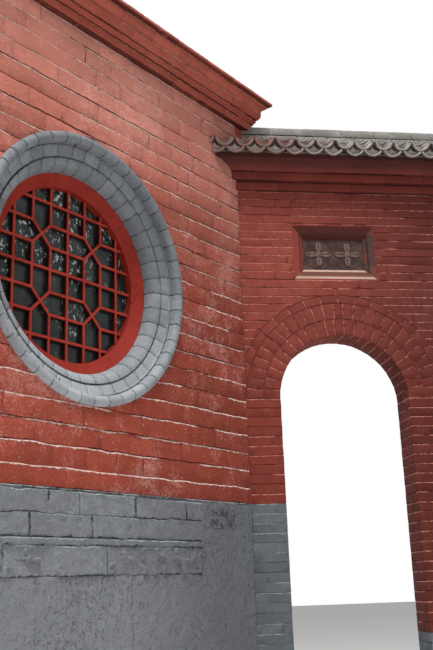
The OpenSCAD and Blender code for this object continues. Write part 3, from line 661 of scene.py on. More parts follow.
def render_coat():
    """Grey paint on lime render: rubbed smooth in places, in others pitted like a sponge, where the sand has
    fallen out, and cracked round one old patch at the corner. The pits are painted darker, as shade, their
    rims paler, as painted highlight, and the coat is painted darker towards the corner with the gate, as
    shade."""
    pot = Pot("render_paint")
    side, tail = pot.marks()[3:]
    x, _, z = pot.split(pot.place)
    run = (x - float(corner[0])) / math.cos(turn)
    cloud = pot.noise(1.3, 4.0)
    mottle = pot.noise(8.0, 5.0, 0.6)
    lump = pot.noise(30.0, 4.0, 0.6)
    grit = pot.noise(85.0, 5.0, 0.7)
    coarse = pot.band(pot.noise(2.1, 3.0), 0.44, 0.60)
    sponge = grit * 0.70 + lump * 0.30 - coarse * 0.03
    pits = 1 - pot.band(sponge, 0.395, 0.43)
    rims = pot.band(sponge, 0.43, 0.45) * (1 - pot.band(sponge, 0.45, 0.49)) * coarse
    worm = pot.math("ABSOLUTE", pot.noise(8.0, 6.0, 0.7) - 0.5)
    far = ((run + 0.32) * 3.8) ** 2 + ((z - 1.90) * 15.0) ** 2 + (mottle - 0.5) * 1.6
    cracks = (1 - pot.band(worm, 0.004, 0.022)) * (1 - pot.band(far, 0.5, 1.2))
    bright = 1 + (cloud - 0.5) * 0.25 + (mottle - 0.5) * 0.20 + (lump - 0.5) * 0.35 + (grit - 0.5) * 0.35
    # Darker towards the corner with the gate: painted shade.
    bright = bright * (1 - pot.band(run + (cloud - 0.5) * 0.6, -1.4, -0.3) * 0.40)
    edge = 1 - pot.band(pot.math("MINIMUM", side, tail) + (lump - 0.5) * 0.012, 0.001, 0.006)
    coat = pot.scaled(shade(150, 153, 158), bright)
    # Pale rims round the pits: painted highlight. Dark pits: painted shade.
    coat = pot.mix(rims * 0.30, coat, shade(172, 179, 184))
    coat = pot.mix(pits * (0.04 + coarse * 0.26), coat, shade(30, 33, 36))
    coat = pot.mix(edge * 0.45, coat, shade(48, 52, 56))
    coat = pot.mix(cracks * 0.7, coat, shade(26, 28, 31))
    relief = mottle * 0.8 + lump * 1.0 + grit * 0.8 - pits * 0.5 - cracks * 0.8
    return pot.done(coat, 0.86 + (grit - 0.5) * 0.14, relief, 0.034)


def trowelled(a, b):
    """Render thrown on and rubbed: broad waves, small lumps, and pits where a coarse patch has weathered."""
    patch = np.clip(grain(a, b, 0.0, 0.45, 81) * 1.6 + 0.1, 0, 1)
    pits = np.clip(grain(a, b, 1.0, 0.045, 82) * 2.2 - 0.9, 0, 1) * patch
    return 0.0030 * grain(a, b, 2.0, 0.3, 83) + 0.0024 * grain(a, b, 3.0, 0.06, 84) - 0.005 * pits


def broken(a, b):
    """The face of the course under the ledge, hacked away in shallow scoops with sharp crests between."""
    scoops = 1.2 * np.abs(grain(a, b, 4.0, 0.085, 85)) + 0.8 * np.abs(grain(a, b, 5.0, 0.035, 86))
    whole = np.clip(grain(a, 0.5, 8.0, 0.5, 80) * 3.0 - 0.3, 0, 0.8)
    return (0.006 - 0.034 * np.minimum(scoops, 0.62)) * (1 - whole) + 0.0015 * grain(a, b, 6.0, 0.025, 87)


def ragged_left(a, b, d):
    """The hall's face, with whatever lies near the left edge of the corner's render shifted to and fro."""
    ragged = 0.020 * grain(b, 0.0, 0.0, 0.09, 97) + 0.010 * grain(b, 1.0, 0.0, 0.03, 98)
    return hall_front(a + ragged * np.clip((-0.42 - a) / 0.12, 0, 1), b, d)


course_end, ledge_end, render_end = render_x + 0.04, render_x + 0.03, render_x + 0.02
middle_bed, dado_brick, rough_brick = dado_top - 0.130, hall_brick * 0.95, 0.7
top_beds, rough_beds = np.array([ledge_high, middle_bed, first_bed]), np.array([render_top, ledge_low])
dado_rows = lay_courses(-hall_run, course_end, top_beds, dado_brick, joint=0.007, halves=0.3, seed=85)
rough_rows = lay_courses(-hall_run, course_end, rough_beds, rough_brick, joint=0.004, halves=0.2, seed=86)
ledge_row = [-hall_run, ledge_end, ledge_low, ledge_high - 0.004]
top_row = [-hall_run, -corner_gap, first_bed + 0.004, dado_top]
dado_shape = joined(
    slabs(dado_rows, hall_front, (30, 8), ease=0.005, proud=0.007, seed=87, wave=0.007, relief=0.0022,
          closed=0.5),
    slabs(ledge_row, hall_front, (160, 2), ease=0.007, proud=0.013, seed=88, wave=0.004),
    slabs(rough_rows, hall_front, (84, 20), ease=0.006, proud=0.018, seed=89, wave=0.006, relief=broken,
          closed=0.9),
    slabs(top_row, hall_front, (150, 1), ease=0.003, proud=0.007, seed=90, wave=0.002))
add_piece("dado_bricks", dado_shape, dado_grey, "dado_paint")
corner_row = [render_x, -corner_gap, 0.0, first_bed + 0.003]
corner_shape = slabs(corner_row, ragged_left, (48, 170), ease=0.004, proud=0.0095, seed=93,
                     relief=trowelled, closed=0.0, sunk=-0.004)
far_end = 0.1
corner_shape[2][:, 3:] = far_end
render_shape = joined(
    *(slabs([left, right, 0.0, render_top], hall_front, (across, 120), 0.005, proud, seed, wave=0.004,
            relief=trowelled, closed=1.0)
      for left, right, across, proud, seed in ((-hall_run, crack_x - seam, 150, 0.0085, 91),
                                               (crack_x + seam, render_end, 50, 0.008, 92))),
    corner_shape)
render_grey = render_coat()
add_piece("dado_render", render_shape, render_grey, "dado_paint")
back_dado = joined(*(
    slabs([left, right, 0.0, dado_top], place, (across, 70), 0.006, 0.006, seed, relief=trowelled)
    for left, right, place, across, seed in ((-hall_run + 2 * end_gap, inner_foot, hall_back, 100, 94),
                                             (hall_t, return_run, return_in, 20, 95),
                                             (return_start, return_run, return_out, 20, 96))))
add_piece("dado_back", back_dado, render_grey, "dado_paint")
left_plinth_beds, right_plinth_beds = np.linspace(0, dado_top, 33), np.linspace(0, plinth_top, 19)
plinth_joint, plinth_proud, plinth_jamb_proud = gate_bed * 0.7, 0.0035, 0.003
plinth_shapes = []
for place, start, seed in ((gate_front, front_start, 101), (gate_back, back_start, 111)):
    rows = beside_doorway(start, left_plinth_beds, right_plinth_beds, plinth_joint, seed)
    plinth_shapes.append(slabs(rows, place, (2, 0), gate_ease, plinth_proud, seed + 2, wave=0.0014))
plinth_shapes += [jamb_shape(left_plinth_beds, left_jamb, plinth_jamb_proud, 122),
                  jamb_shape(right_plinth_beds, right_jamb, plinth_jamb_proud, 124)]
add_piece("plinth_bricks", joined(*plinth_shapes), plinth_grey, "dado_paint")
dado_core = core("dado_core", (92, 97, 101), (108, 113, 117), hall_course, hall_brick, first_bed)
finish_nodes(dado_core, "hall_dado", "gate_plinth_left", "gate_plinth_right")


# The moulded surround. Three rings of bricks were rubbed to a profile before they were laid: a bull-nosed
# roll, a band that falls back from a bead to a groove, and a roll that turns into the opening.
def tube_faces(steps, turns, closed=False):
    """The quads between the profiles of a run, each a loop of points, numbered one profile after another."""
    number = np.arange(steps * turns).reshape(steps, turns)
    here, ahead = (number, np.roll(number, -1, 0)) if closed else (number[:-1], number[1:])
    return np.stack([here, np.roll(here, -1, 1), np.roll(ahead, -1, 1), ahead], -1).reshape(-1, 4)


def carried(profile, starts, first, second, stations, closed, press=0.0035, lips=False, limit=-9.0):
    """A closed profile carried along a path of starts, its two axes along first and second there. Stations
    hold dip, tone and the ways to the brick's two ends. Where dip is 1 the profile is pressed in by press all
    round, which makes the joint between two bricks; elsewhere each brick is pressed in a little by its tone.
    Lips is whether points know how far they lie under the upper outer edge. Limit is how far the first axis
    may go back at each station."""
    first, second = (np.broadcast_to(way, starts.shape) for way in (first, second))
    dip, tone, before, after = stations.T
    middle = (profile.max(0) + profile.min(0)) / 2
    inward = (middle - profile) / ((profile.max(0) - profile.min(0)) / 2)
    wobble = grain(profile[:, 0], profile[:, 1], np.arange(len(starts))[:, None] * 0.05, 0.03, 7)
    pressed = 0.0005 + 0.0005 * wobble + (dip * press + tone * 0.0018)[:, None]
    shape = profile + inward * pressed[..., None]
    shape[..., 0] = np.maximum(shape[..., 0], np.broadcast_to(limit, len(starts))[:, None])
    points = starts[:, None] + shape[..., :1] * first[:, None] + shape[..., 1:] * second[:, None]
    steps, turns = shape.shape[:2]
    rim = np.arange(turns)[None]
    faces = [tube_faces(steps, turns, closed)]
    faces += [] if closed else [rim[:, ::-1], rim + (steps - 1) * turns]
    area = np.cross(profile, np.roll(profile, -1, 0)).sum()
    travel = np.cross(first[0], second[0]) if closed else starts[1] - starts[0]
    if area * (np.cross(first[0], second[0]) @ travel) < 0:
        faces = [f[:, ::-1] for f in faces]
    top, foot = (profile[:, 1].max(), profile[:, 1].min()) if lips else (9.0, -9.0)
    edge = profile[profile[:, 1] > top - 0.006, 0].max() - 0.006 if lips else 9.0
    under = top - shape[..., 1] + np.maximum(edge - shape[..., 0], 0)
    marks = np.stack(np.broadcast_arrays(tone[:, None], under, shape[..., 1] - foot, before[:, None],
                                         after[:, None]), -1)
    return points.reshape(-1, 3), faces, marks.reshape(-1, 5)


def joints_along(length, pitch, between, seed, gap=0.005):
    """Stations along a path: two close pairs at each joint, the inner ones dipped, and some between. Gives
    their places, and for each its dip, its brick's tone, and the ways back and on to the brick's ends."""
    rng = np.random.default_rng(seed)
    count = max(1, round(length / pitch))
    ends = np.linspace(0, length, count + 1)
    ends[1:-1] += rng.normal(0, pitch * 0.05, count - 1)
    start, end = ends[:-1, None], ends[1:, None]
    inner = start + gap + (end - start - 2 * gap) * np.linspace(0, 1, between + 2)
    places = np.concatenate([start + gap * 0.3, inner, end - gap * 0.3], 1)
    dips = np.zeros_like(places)
    dips[:, [0, -1]] = 1.0
    tones = np.broadcast_to(rng.random((count, 1)), places.shape)
    stations = np.stack([dips, tones, places - start, end - places], -1)
    return places.ravel(), stations.reshape(-1, 4)


def softened(outline, ease):
    """An outline with each corner cut back by ease and filled with a point between."""
    outline = np.asarray(outline, float)
    before, after = np.roll(outline, 1, 0) - outline, np.roll(outline, -1, 0) - outline
    one, two = (outline + side / np.linalg.norm(side, axis=1)[:, None]
                * np.minimum(ease, np.linalg.norm(side, axis=1) * 0.4)[:, None] for side in (before, after))
    return np.stack([one, (one + two + 2 * outline * 0.6) / 3.2, two], 1).reshape(-1, 2)


def ring_shape(profile, pitch, seed, between=2):
    """A ring of bricks round the window: the profile holds radius and depth behind the wall face."""
    radius = profile[:, 0].max()
    places, stations = joints_along(2 * math.pi * radius, pitch, between, seed)
    turned = places[:, None] / radius + 0.02
    first = np.cos(turned) * along_hall + np.sin(turned) * up
    centre = corner + window_x * along_hall + window_z * up
    return carried(profile, np.tile(centre, (len(places), 1)), first, into_hall, stations, True)


def arc(centre, radii, start, end, count):
    """Points of an ellipse's arc, from start to end in degrees."""
    turned = np.radians(np.linspace(start, end, count))
    return np.stack([centre[0] + radii[0] * np.cos(turned), centre[1] + radii[1] * np.sin(turned)], -1)


roll_high, roll_low, band_low = ((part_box(node)[1][2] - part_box(node)[0][2]) / 2 for node in (
    "surround_outer_roll", "surround_band", "surround_inner_roll"))
roll_proud, surround_d, bead_d, inner_d, inner_w, bead_w = 0.030, 0.136, 0.027, 0.052, 0.068, 0.010
groove_d, band_foot_d, band_head_d = bead_d + 0.044, bead_d + 0.024, bead_d + 0.012
inner_low = band_low - inner_w
roll_arc = arc(((roll_low + roll_high) / 2, 0.0), ((roll_high - roll_low) / 2, roll_proud), 180, 360, 13)
roll_profile = np.concatenate([roll_arc, [[roll_high, surround_d], [roll_low, surround_d]]])
band_profile = softened([
    [band_low, groove_d], [band_low + bead_w, groove_d], [band_low + bead_w, band_foot_d],
    [roll_low - bead_w, band_head_d], [roll_low - bead_w, bead_d], [roll_low, bead_d],
    [roll_low, surround_d], [band_low, surround_d]], 0.002)
inner_arc = arc((band_low, surround_d), (band_low - inner_low, surround_d - inner_d), 180, 270, 10)
inner_profile = np.concatenate([inner_arc, [[band_low, surround_d]]])
# Paler on the lower part of the ring, where it faces up: painted sky light.
surround_grey = limewash("surround_paint", [(158, 162, 167), (124, 128, 133), (200, 206, 210), (22, 24, 27)],
                         span=(2.45, 3.3), wear_and_light=(0.0, 0.0, 1.9), specks=0.4, deep=0.004, uneven=0.26,
                         crack_w=0.0055)
for name, profile, pitch, seed, node in (
        ("surround_roll_bricks", roll_profile, 0.116, 131, "surround_outer_roll"),
        ("surround_band_bricks", band_profile, 0.118, 132, "surround_band"),
        ("surround_inner_bricks", inner_profile, 0.108, 133, "surround_inner_roll")):
    add_piece(name, ring_shape(profile, pitch, seed), surround_grey, "surround_brick", node)


# The window. A splayed timber ring carries a lattice of square bars, all in the same oil paint, dull and
# dusty. One sheet of glass lies behind it, and what is behind the glass is dark.
def timber_paint(name, fresh, faded, dark, front, back):
    """Old oil paint on timber: brush marks and grime. From the depth front to the depth back, both in metres
    behind the wall's face, it is painted darker, and dark beyond: painted shade on the sides of the bars and
    deep in the opening."""
    pot = Pot(name)
    fresh, faded, dark = (shade(*mixed) for mixed in (fresh, faded, dark))
    depth = pot.add("ShaderNodeVectorMath", {"operation": "DOT_PRODUCT"}, {0: pot.place, 1: tuple(into_hall)},
                    out="Value")
    # Painted shade: darker with depth behind the wall's face.
    shaded = pot.band(depth - float(corner @ into_hall), front, back)
    cloud = pot.noise(5.0, 5.0, 0.6)
    fine = pot.noise(60.0, 6.0, 0.65)
    colour = pot.mix(pot.band(cloud * 0.7 + fine * 0.3, 0.35, 0.7), fresh, faded)
    colour = pot.mix(pot.band(pot.noise(26.0, 4.0, 0.6), 0.56, 0.70) * 0.5, colour, dark)
    return pot.done(pot.mix(shaded, colour, dark), 0.5 + fine * 0.25, fine + cloud * 0.5, 0.0006)


def shaded_murky_glass():
    """Glass before a dark space, painted murky and dark for the shade behind it, with painted reflections of
    the sky in clusters of small pale spots.
    """
    pot = Pot("window_glass")
    cluster = pot.band(pot.noise(4.0, 3.0), 0.44, 0.58)
    # Painted reflections of the sky, in clusters of pale spots.
    glint = pot.band(pot.noise(46.0, 6.0, 0.65, at=pot.stretched(1.0, 1.0, 0.6)), 0.56, 0.60) * cluster
    colour = pot.mix(pot.band(pot.noise(5.0, 5.0, 0.7), 0.3, 0.7), shade(12, 15, 15), shade(48, 55, 53))
    return pot.done(pot.mix(glint * 0.8, colour, shade(216, 226, 226)), 0.18, pot.noise(9.0, 3.0), 0.004)


ring_paint = timber_paint("ring_oil_paint", (128, 31, 20), (148, 44, 29), (74, 22, 16),
                          front=0.40, back=0.50)
# The bars are painted dark from just behind their fronts: painted shade on their sides.
bar_paint = timber_paint("bar_oil_paint", (152, 42, 30), (174, 64, 48), (44, 13, 10),
                         front=0.1965, back=0.2010)
finish_nodes(ring_paint, "window_ring", "glazing_bead")
finish_nodes(bar_paint, "lattice")
finish_nodes(shaded_murky_glass(), "glass")


# The hall's cornice. Courses of moulded brick step out one over another: a flat band, two fillets, an
# ovolo, a cavetto under a thin lip, and a slab. Each is a run of short bricks with fine joints.
def moved_to(run, place):
    """A run of five stations a brick, with the middle one of the brick at a place moved to that place."""
    places, stations = run
    rows, numbers = places.reshape(-1, 5), stations.reshape(-1, 5, 4)
    brick = np.clip(np.searchsorted(rows[:, 0], place) - 1, 0, len(rows) - 1)
    step = np.clip(place, rows[brick, 1] + 0.002, rows[brick, 3] - 0.002) - rows[brick, 2]
    rows[brick, 2] += step
    numbers[brick, 2, 2:] += step, -step
    return places, stations


def hall_run_shape(profile, pitch, seed):
    """A course of the hall's cornice: its profile of reach and height, carried along the face, round the
    corner on the mitre, and along the return. Behind the face neither leg goes past the mitre."""
    length = hall_run + corner_lap
    fronts = moved_to(joints_along(length, pitch, 1, seed), length - hall_t)
    sides = moved_to(joints_along(return_run, pitch, 1, seed + 1), hall_t)
    out_front, out_side = -into_hall, along_hall
    mitre = (out_front + out_side) / (1 + out_front @ out_side)
    start = corner - hall_run * along_hall
    starts = np.concatenate([start + fronts[0][:-1, None] * along_hall, [hall_corner],
                             hall_corner + sides[0][1:, None] * into_hall])
    first = np.repeat([out_front, mitre, out_side], [len(fronts[0]) - 1, 1, len(sides[0]) - 1], 0)
    starts[0], starts[-1] = start, hall_corner + return_run * into_hall
    stations = np.concatenate([fronts[1][:-1], [[0.0, fronts[1][-1, 1], 0.1, 0.1]], sides[1][1:]])
    stations[[0, -1], 0] = 0.0
    limit = -np.concatenate([length - fronts[0][:-1], [0.0], sides[0][1:]])
    return carried(profile, starts, first, up, stations, False, press=0.0025, lips=True, limit=limit)


def plank(inside, out, low, high, ease):
    """The profile of a plain course, from inside the wall to its reach, with eased edges."""
    return softened([[inside, low], [out, low], [out, high], [inside, high]], ease)


def moulding(inside, low, curve, high):
    """The profile of a moulded course: a curve between the course's foot and top, closed inside the wall."""
    return np.concatenate([[[inside, low]], curve, [[inside, high]]])


def levels(*nodes):
    """The foot and the top of each node."""
    return [[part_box(node)[i][2] for i in (0, 1)] for node in nodes]


inside = -hall_t
flat_z, fillet_z, ovolo_z, cavetto_z, slab_z = levels(*("cornice_" + part for part in (
    "flat", "fillets", "ovolo", "cavetto", "slab")))
flat_out, fillet_step, ovolo_out, lip_out, slab_out, lip_t = 0.045, 0.012, 0.030, 0.131, 0.165, 0.022
ovolo_in = flat_out + 2 * fillet_step
lip_low = cavetto_z[1] - lip_t
fillet_mid = sum(fillet_z) / 2
fillets = softened([
    [inside, fillet_z[0]], [flat_out + fillet_step, fillet_z[0]], [flat_out + fillet_step, fillet_mid],
    [ovolo_in, fillet_mid], [ovolo_in, fillet_z[1]], [inside, fillet_z[1]]], 0.003)
ovolo = arc((ovolo_in, ovolo_z[1]), (ovolo_out, ovolo_z[1] - ovolo_z[0]), -90, 0, 8)
cavetto = arc((lip_out, cavetto_z[0]), (lip_out - ovolo_in - ovolo_out, lip_low - cavetto_z[0]), 180, 90, 7)
cavetto = np.concatenate([cavetto, [[lip_out, cavetto_z[1]]]])
courses = {"flat": (plank(inside, flat_out, *flat_z, 0.004), 0.30), "fillets": (fillets, 0.30),
           "ovolo": (moulding(inside, ovolo_z[0], ovolo, ovolo_z[1]), 0.27),
           "cavetto": (moulding(inside, cavetto_z[0], cavetto, cavetto_z[1]), 0.29),
           "slab": (plank(inside, slab_out, *slab_z, 0.004), 0.33)}
# Dark lines under every course of the cornice are painted shadow, and the pale lips along their tops partly
# painted highlight.
cornice_red = limewash("cornice_limewash", [(160, 78, 63), (172, 92, 77), (212, 154, 140), (48, 15, 12)],
                       span=(4.8, 5.1), wear_and_light=(1.4, 2.2, 0.8), specks=0.3, deep=0.0025, wide=0.006, torn=0.05)
slab_red = limewash("slab_limewash", [(164, 82, 67), (98, 58, 50), (212, 154, 140), (48, 15, 12)],
                    span=(slab_z[1] - 0.010, slab_z[1] - 0.006), wear_and_light=(1.6, 2.2, 0.8), specks=0.3,
                    deep=0.0025, wide=0.009, torn=0.05)
for number, (course, (profile, pitch)) in enumerate(courses.items()):
    paint = slab_red if course == "slab" else cornice_red
    run_shape = hall_run_shape(profile, pitch, 141 + number * 2)
    add_piece("hall_cornice_" + course, run_shape, paint, "hall_brick", "cornice_" + course)


# The gate's cornice. Two courses of plain bricks are corbelled out, and a cove of rubbed bricks leans out
# to a flat lip that carries the tiles. Front and back are alike.
def gate_run_shape(profile, pitch, seed, back):
    """A course of the gate's cornice: its profile of reach and height, carried along one side. The first
    profile slants with the hall's face or return, at half a right angle to the wall."""
    edge, through, out = (back_edge, gate_t, into_gate) if back else (0.0, 0.0, -into_gate)
    places, stations = (run[1:] for run in joints_along(gate_run - edge, pitch, 1, seed))
    face = corner + through * into_gate
    starts = face + (places[:, None] + edge) * along_gate
    first = np.tile(out, (len(places), 1))
    starts[0], starts[-1] = face + edge * along_gate, face + gate_run * along_gate
    first[0] = first[0] - along_gate / math.tan(turn)
    stations[[0, -1], 0] = 0.0
    return carried(profile, starts, first, up, stations, False, press=0.0015, lips=True)


inside = -gate_t / 2
low_z, high_z, cove_z = levels("corbel_low", "corbel_high", "eave_cove")
low_out, high_out, cove_step, cove_out, eave_t, cornice_pitch = 0.028, 0.056, 0.008, 0.186, 0.036, 0.26
eave_lip = cove_z[1] - eave_t
cove = arc((cove_out, cove_z[0]), (cove_out - high_out - cove_step, eave_lip - cove_z[0]), 180, 90, 9)
cove = np.concatenate([cove, [[cove_out, cove_z[1]]]])
# The dark lines under the corbels are painted shadow.
corbel_red = limewash("gate_cornice_limewash", [(112, 47, 39), (112, 47, 39), (172, 110, 98), (44, 17, 15)],
                      span=(0.0, 9.0), wear_and_light=(0.3, 1.8, 0.4), specks=0.15, deep=0.002, wide=0.004,
                      dim=(0.3, 2.2, 0.25), torn=0.05)
# Darker towards the lip under the tiles: painted shadow of the tiles, with rain stain.
cove_red = limewash("cove_limewash", [(116, 52, 47), (82, 42, 39), (140, 84, 74), (34, 13, 11)],
                    span=(cove_z[0], eave_lip), wear_and_light=(-9.0, 0.6, 0.4), specks=0.15, deep=0.002, wide=0.004,
                    dim=(0.3, 2.2, 0.15), lip_shadow=0.35)
for name, profile, seed, paint, node in (
        ("gate_corbel_low", plank(inside, low_out, *low_z, 0.005), 161, corbel_red, "corbel_low"),
        ("gate_corbel_high", plank(inside, high_out, *high_z, 0.005), 165, corbel_red, "corbel_high"),
        ("gate_cove", moulding(inside, cove_z[0], cove, cove_z[1]), 169, cove_red, "eave_cove")):
    both = joined(*(gate_run_shape(profile, cornice_pitch, seed + back, back) for back in (0, 1)))
    add_piece(name, both, paint, "gate_brick", node)


# The plaque. A frame of moulded brick is let into the wall, bevelled in to a fillet and a slope, with a dark
# plate in it. Each side is painted for how light falls on it, with some weathering: a lit red on the left,
# painted shade on top, dark blotches on the right, and pale lines of painted highlight below.
def frame_weathering_and_light():
    """Wash on the plaque's frame, each side painted for the light. A point belongs to the side whose edge is
    the nearest.
    """
    pot = Pot("plaque_frame_paint")
    cloud = pot.noise(12.0, 5.0, 0.6)
    fine = pot.noise(90.0, 6.0, 0.7)
    x, _, z = pot.split(pot.place)
    from_left, from_right = x - plaque_low[0], plaque_high[0] - x
    from_foot, from_top = z - plaque_low[2], plaque_high[2] - z
    at_foot = (from_foot < from_left) * (from_foot < from_right) * (from_foot < 0.2)
    at_left, at_right = ((side < from_foot) * (side < from_top) for side in (from_left, from_right))
    # Painted light by side: a lit red on the left, painted shade on top, darker blotches on the right.
    blotched = pot.mix(pot.band(cloud, 0.48, 0.56), shade(66, 46, 42), shade(92, 46, 40))
    colour = pot.mix(at_left, shade(70, 28, 24), shade(122, 54, 45))
    colour = pot.mix(at_right, colour, blotched)
    colour = pot.mix(at_foot, colour, shade(94, 56, 47))
    # The two pale lines at the foot are painted highlight.
    pale_foot = at_foot * (1 - pot.band(from_foot + (fine - 0.5) * 0.008, 0.014, 0.024))
    pale_slope = at_foot * pot.band(from_foot + (fine - 0.5) * 0.006, 0.056, 0.062)
    colour = pot.mix((pale_foot + pale_slope) * 0.8, colour, shade(172, 144, 130))
    # The dark line along the fillet, except at the foot, is painted shadow.
    nearest = pot.math("MINIMUM", pot.math("MINIMUM", from_left, from_right), from_top)
    fillet = pot.band(nearest, 0.041, 0.044) * (1 - pot.band(nearest, 0.050, 0.056)) * (1 - at_foot)
    colour = pot.mix(fillet * 0.7, colour, shade(36, 20, 17))
    colour = pot.scaled(colour, 0.7 + cloud * 0.6 + (fine - 0.5) * 0.3)
    return pot.done(colour, 0.8, fine * 0.6 + cloud, 0.0012)


def dark_plate():
    """Dark brick, pale on whatever stands out of it: rubbed, and painted highlight on the relief."""
    pot = Pot("plaque_plate")
    cloud = pot.noise(14.0, 6.0, 0.7)
    fine = pot.noise(120.0, 6.0, 0.7)
    depth = pot.split(pot.place)[1]
    colour = pot.mix(pot.band(cloud, 0.35, 0.65), shade(48, 33, 30), shade(76, 54, 49))
    # Raised parts pale: rubbing and painted highlight.
    worn_and_lit = 1 - pot.band(depth, plate_y - 0.0068, plate_y - 0.0036)
    colour = pot.mix(worn_and_lit * pot.band(fine, 0.40, 0.58) * 0.7, colour, shade(132, 106, 97))
    return pot.done(colour, 0.75, fine + cloud, 0.0012)


def carved(a, b):
    """Two flowers of four petals in low relief, side by side. A petal reaches out as a cosine of four times
    the angle and is cut off sharply, with a vein sunk along it, a boss in the middle and a rim all round."""
    petal_h, boss_h, rim_h, boss_r, vein_w, edge_w = 0.006, 0.003, 0.004, 0.017, 0.006, 0.005
    across = np.abs(a - field_mid[0]) - field_half[0] * 0.48
    rise = b - field_mid[1]
    radius, angle = np.hypot(across, rise), np.arctan2(rise, across)
    reach = field_half[1] * (0.52 + 0.34 * np.cos(4 * angle))
    petal = np.clip((reach - radius) / 0.010, 0, 1)
    vein = np.exp(-(radius * np.sin(2 * angle) / vein_w) ** 2) * (radius > 0.02)
    boss = np.clip((boss_r - radius) / edge_w, 0, 1)
    rim = np.clip(1 - np.abs(radius - field_half[1] * 0.93) / edge_w, 0, 1)
    tooled = 0.0006 * grain(a, b, 0.0, 0.012, 171)
    return petal_h * petal * (1 - 0.6 * vein) + boss_h * boss + rim_h * rim + tooled


plate_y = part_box("plaque_panel")[0][1]
field_mid = (plaque_low[0] + plaque_high[0]) / 2 - corner[0], (plaque_low[2] + plaque_high[2]) / 2
frame_side, frame_rail = 0.078, 0.084
field_half = ((plaque_high[0] - plaque_low[0]) / 2 - frame_side,
              (plaque_high[2] - plaque_low[2]) / 2 - frame_rail)
plate_place = flat_face(corner + (plate_y - corner[1]) * into_gate, along_gate, -into_gate)
plate_row = [field_mid[0] - field_half[0], field_mid[0] + field_half[0],
             field_mid[1] - field_half[1], field_mid[1] + field_half[1]]
plate_shape = slabs(plate_row, plate_place, (150, 80), ease=0.001, proud=0.001, seed=172, wave=0.0,
                    relief=carved, sunk=0.001)
plate_paint = dark_plate()
finish_nodes(frame_weathering_and_light(), "plaque_frame")
finish_nodes(plate_paint, "plaque_panel")
add_piece("plaque_carving", plate_shape, plate_paint, "plaque_stone")

# The tile coping. Grey tiles, curved like troughs, lie in lime mortar down both slopes, each row of three
# lapped up to the ridge. Drip tiles close the gaps between the rows from below.
tile_pitch, tile_start, tile_slope = 0.146, 0.033, math.radians(28)
pan_sag, drip_sag, tile_t, tile_gap, tile_arc = 0.060, 0.040, 0.016, 0.003, 11
upper_share, layer_rises = 0.8, (0.0, 1.1, 2.0, 2.8)
eave_y, eave_z = -0.202, cove_z[1]
ridge_low, ridge_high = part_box("ridge_course")
ridge_face = ridge_low[1] - corner[1]


def on_slope(s, h, back):
    """Metres up the slope and off it, as a place through the gate wall and a level."""
    y = eave_y + s * math.cos(tile_slope) - h * math.sin(tile_slope)
    return gate_t - y if back else y, eave_z + s * math.sin(tile_slope) + h * math.cos(tile_slope)


def beside_hall(y):
    """How far along the gate wall the hall's face or its return stands, at a place through the gate wall."""
    return np.where(y < corner_step, y, 2 * corner_step - y)


def tile_row(shift, raised, setback, sag, lengths, seed, back):
    """Tiles of one row, in layers. A tile is a shell: its cross-section is an arc of the tile's width and
    sag, outer side out and inner side back, carried up the slope. A tile lies on the one below, so its foot
    is one thickness up, and random play shifts, turns and lifts each."""
    rng = np.random.default_rng(seed)
    numbers = np.arange(-2, int(gate_run / tile_pitch) + 3)
    count = len(numbers)
    half = (tile_pitch - tile_gap) / 2
    steps = np.linspace(0, 1, 4)
    shells = []
    for layer, (foot, length) in enumerate(lengths):
        wall = tile_t * (1.0 if layer == 0 else upper_share)
        rise = wall * layer_rises[layer]
        arch = sag - rise * 0.85
        radius = (half ** 2 + arch ** 2) / (2 * arch)
        reach = half / radius
        middle = (numbers + shift) * tile_pitch + tile_start + rng.normal(0, 0.004, count)
        s = foot + setback + steps * length + rng.normal(0, 0.005, (count, 1)) * (layer > 0 or setback > 0)
        lift = raised + rise * (1 - steps * 0.8) + rng.normal(0, 0.0012, (count, 1))
        wall_x = beside_hall(on_slope(s, lift, back)[0]) + 0.002
        start, end = (np.arcsin(np.clip((edge - middle[:, None]) / radius, -reach, reach))
                      for edge in (wall_x, gate_run))
        turned = start[..., None] + (end - start)[..., None] * np.linspace(0, 1, tile_arc)
        outer = np.stack([radius * np.sin(turned), radius * (1 - np.cos(turned))], -1)
        inner = np.stack([(radius - wall) * np.sin(turned), radius - (radius - wall) * np.cos(turned)], -1)
        section = np.concatenate([outer, inner[:, :, ::-1]], 2)
        x = section[..., 0] * (1 - 0.02 * rng.random((count, 1, 1))) + middle[:, None, None]
        h = section[..., 1] + lift[..., None]
        s = np.minimum(s[..., None], (ridge_face - eave_y + h * math.sin(tile_slope)) / math.cos(tile_slope))
        h = h + 0.0008 * grain(x, s, h, 0.02, seed)
        points = np.stack([corner[0] + x, *on_slope(s, h, back)], -1)
        points[..., 1] += corner[1]
        points = points[(end - start).max(1) > 0.3]
        lower = np.arange(tile_arc - 1)
        end_quads = np.stack([lower, 2 * tile_arc - 1 - lower, 2 * tile_arc - 2 - lower, lower + 1], -1)
        quads = np.concatenate([tube_faces(4, 2 * tile_arc), end_quads, (end_quads + 6 * tile_arc)[:, ::-1]])
        base = np.arange(len(points))[:, None, None] * 8 * tile_arc
        quads = (quads + base).reshape(-1, 4)[:, ::(1 if back else -1)]
        tone = rng.random((len(points), 1, 1))
        foot_mark, across = 1 - steps[None, :, None], np.repeat([0.0, 1.0], tile_arc)
        marks = np.stack(np.broadcast_arrays(tone, foot_mark, across, 0.0, 0.0), -1)
        shells.append((points.reshape(-1, 3), [quads], marks.reshape(-1, 5)))
    return joined(*shells)


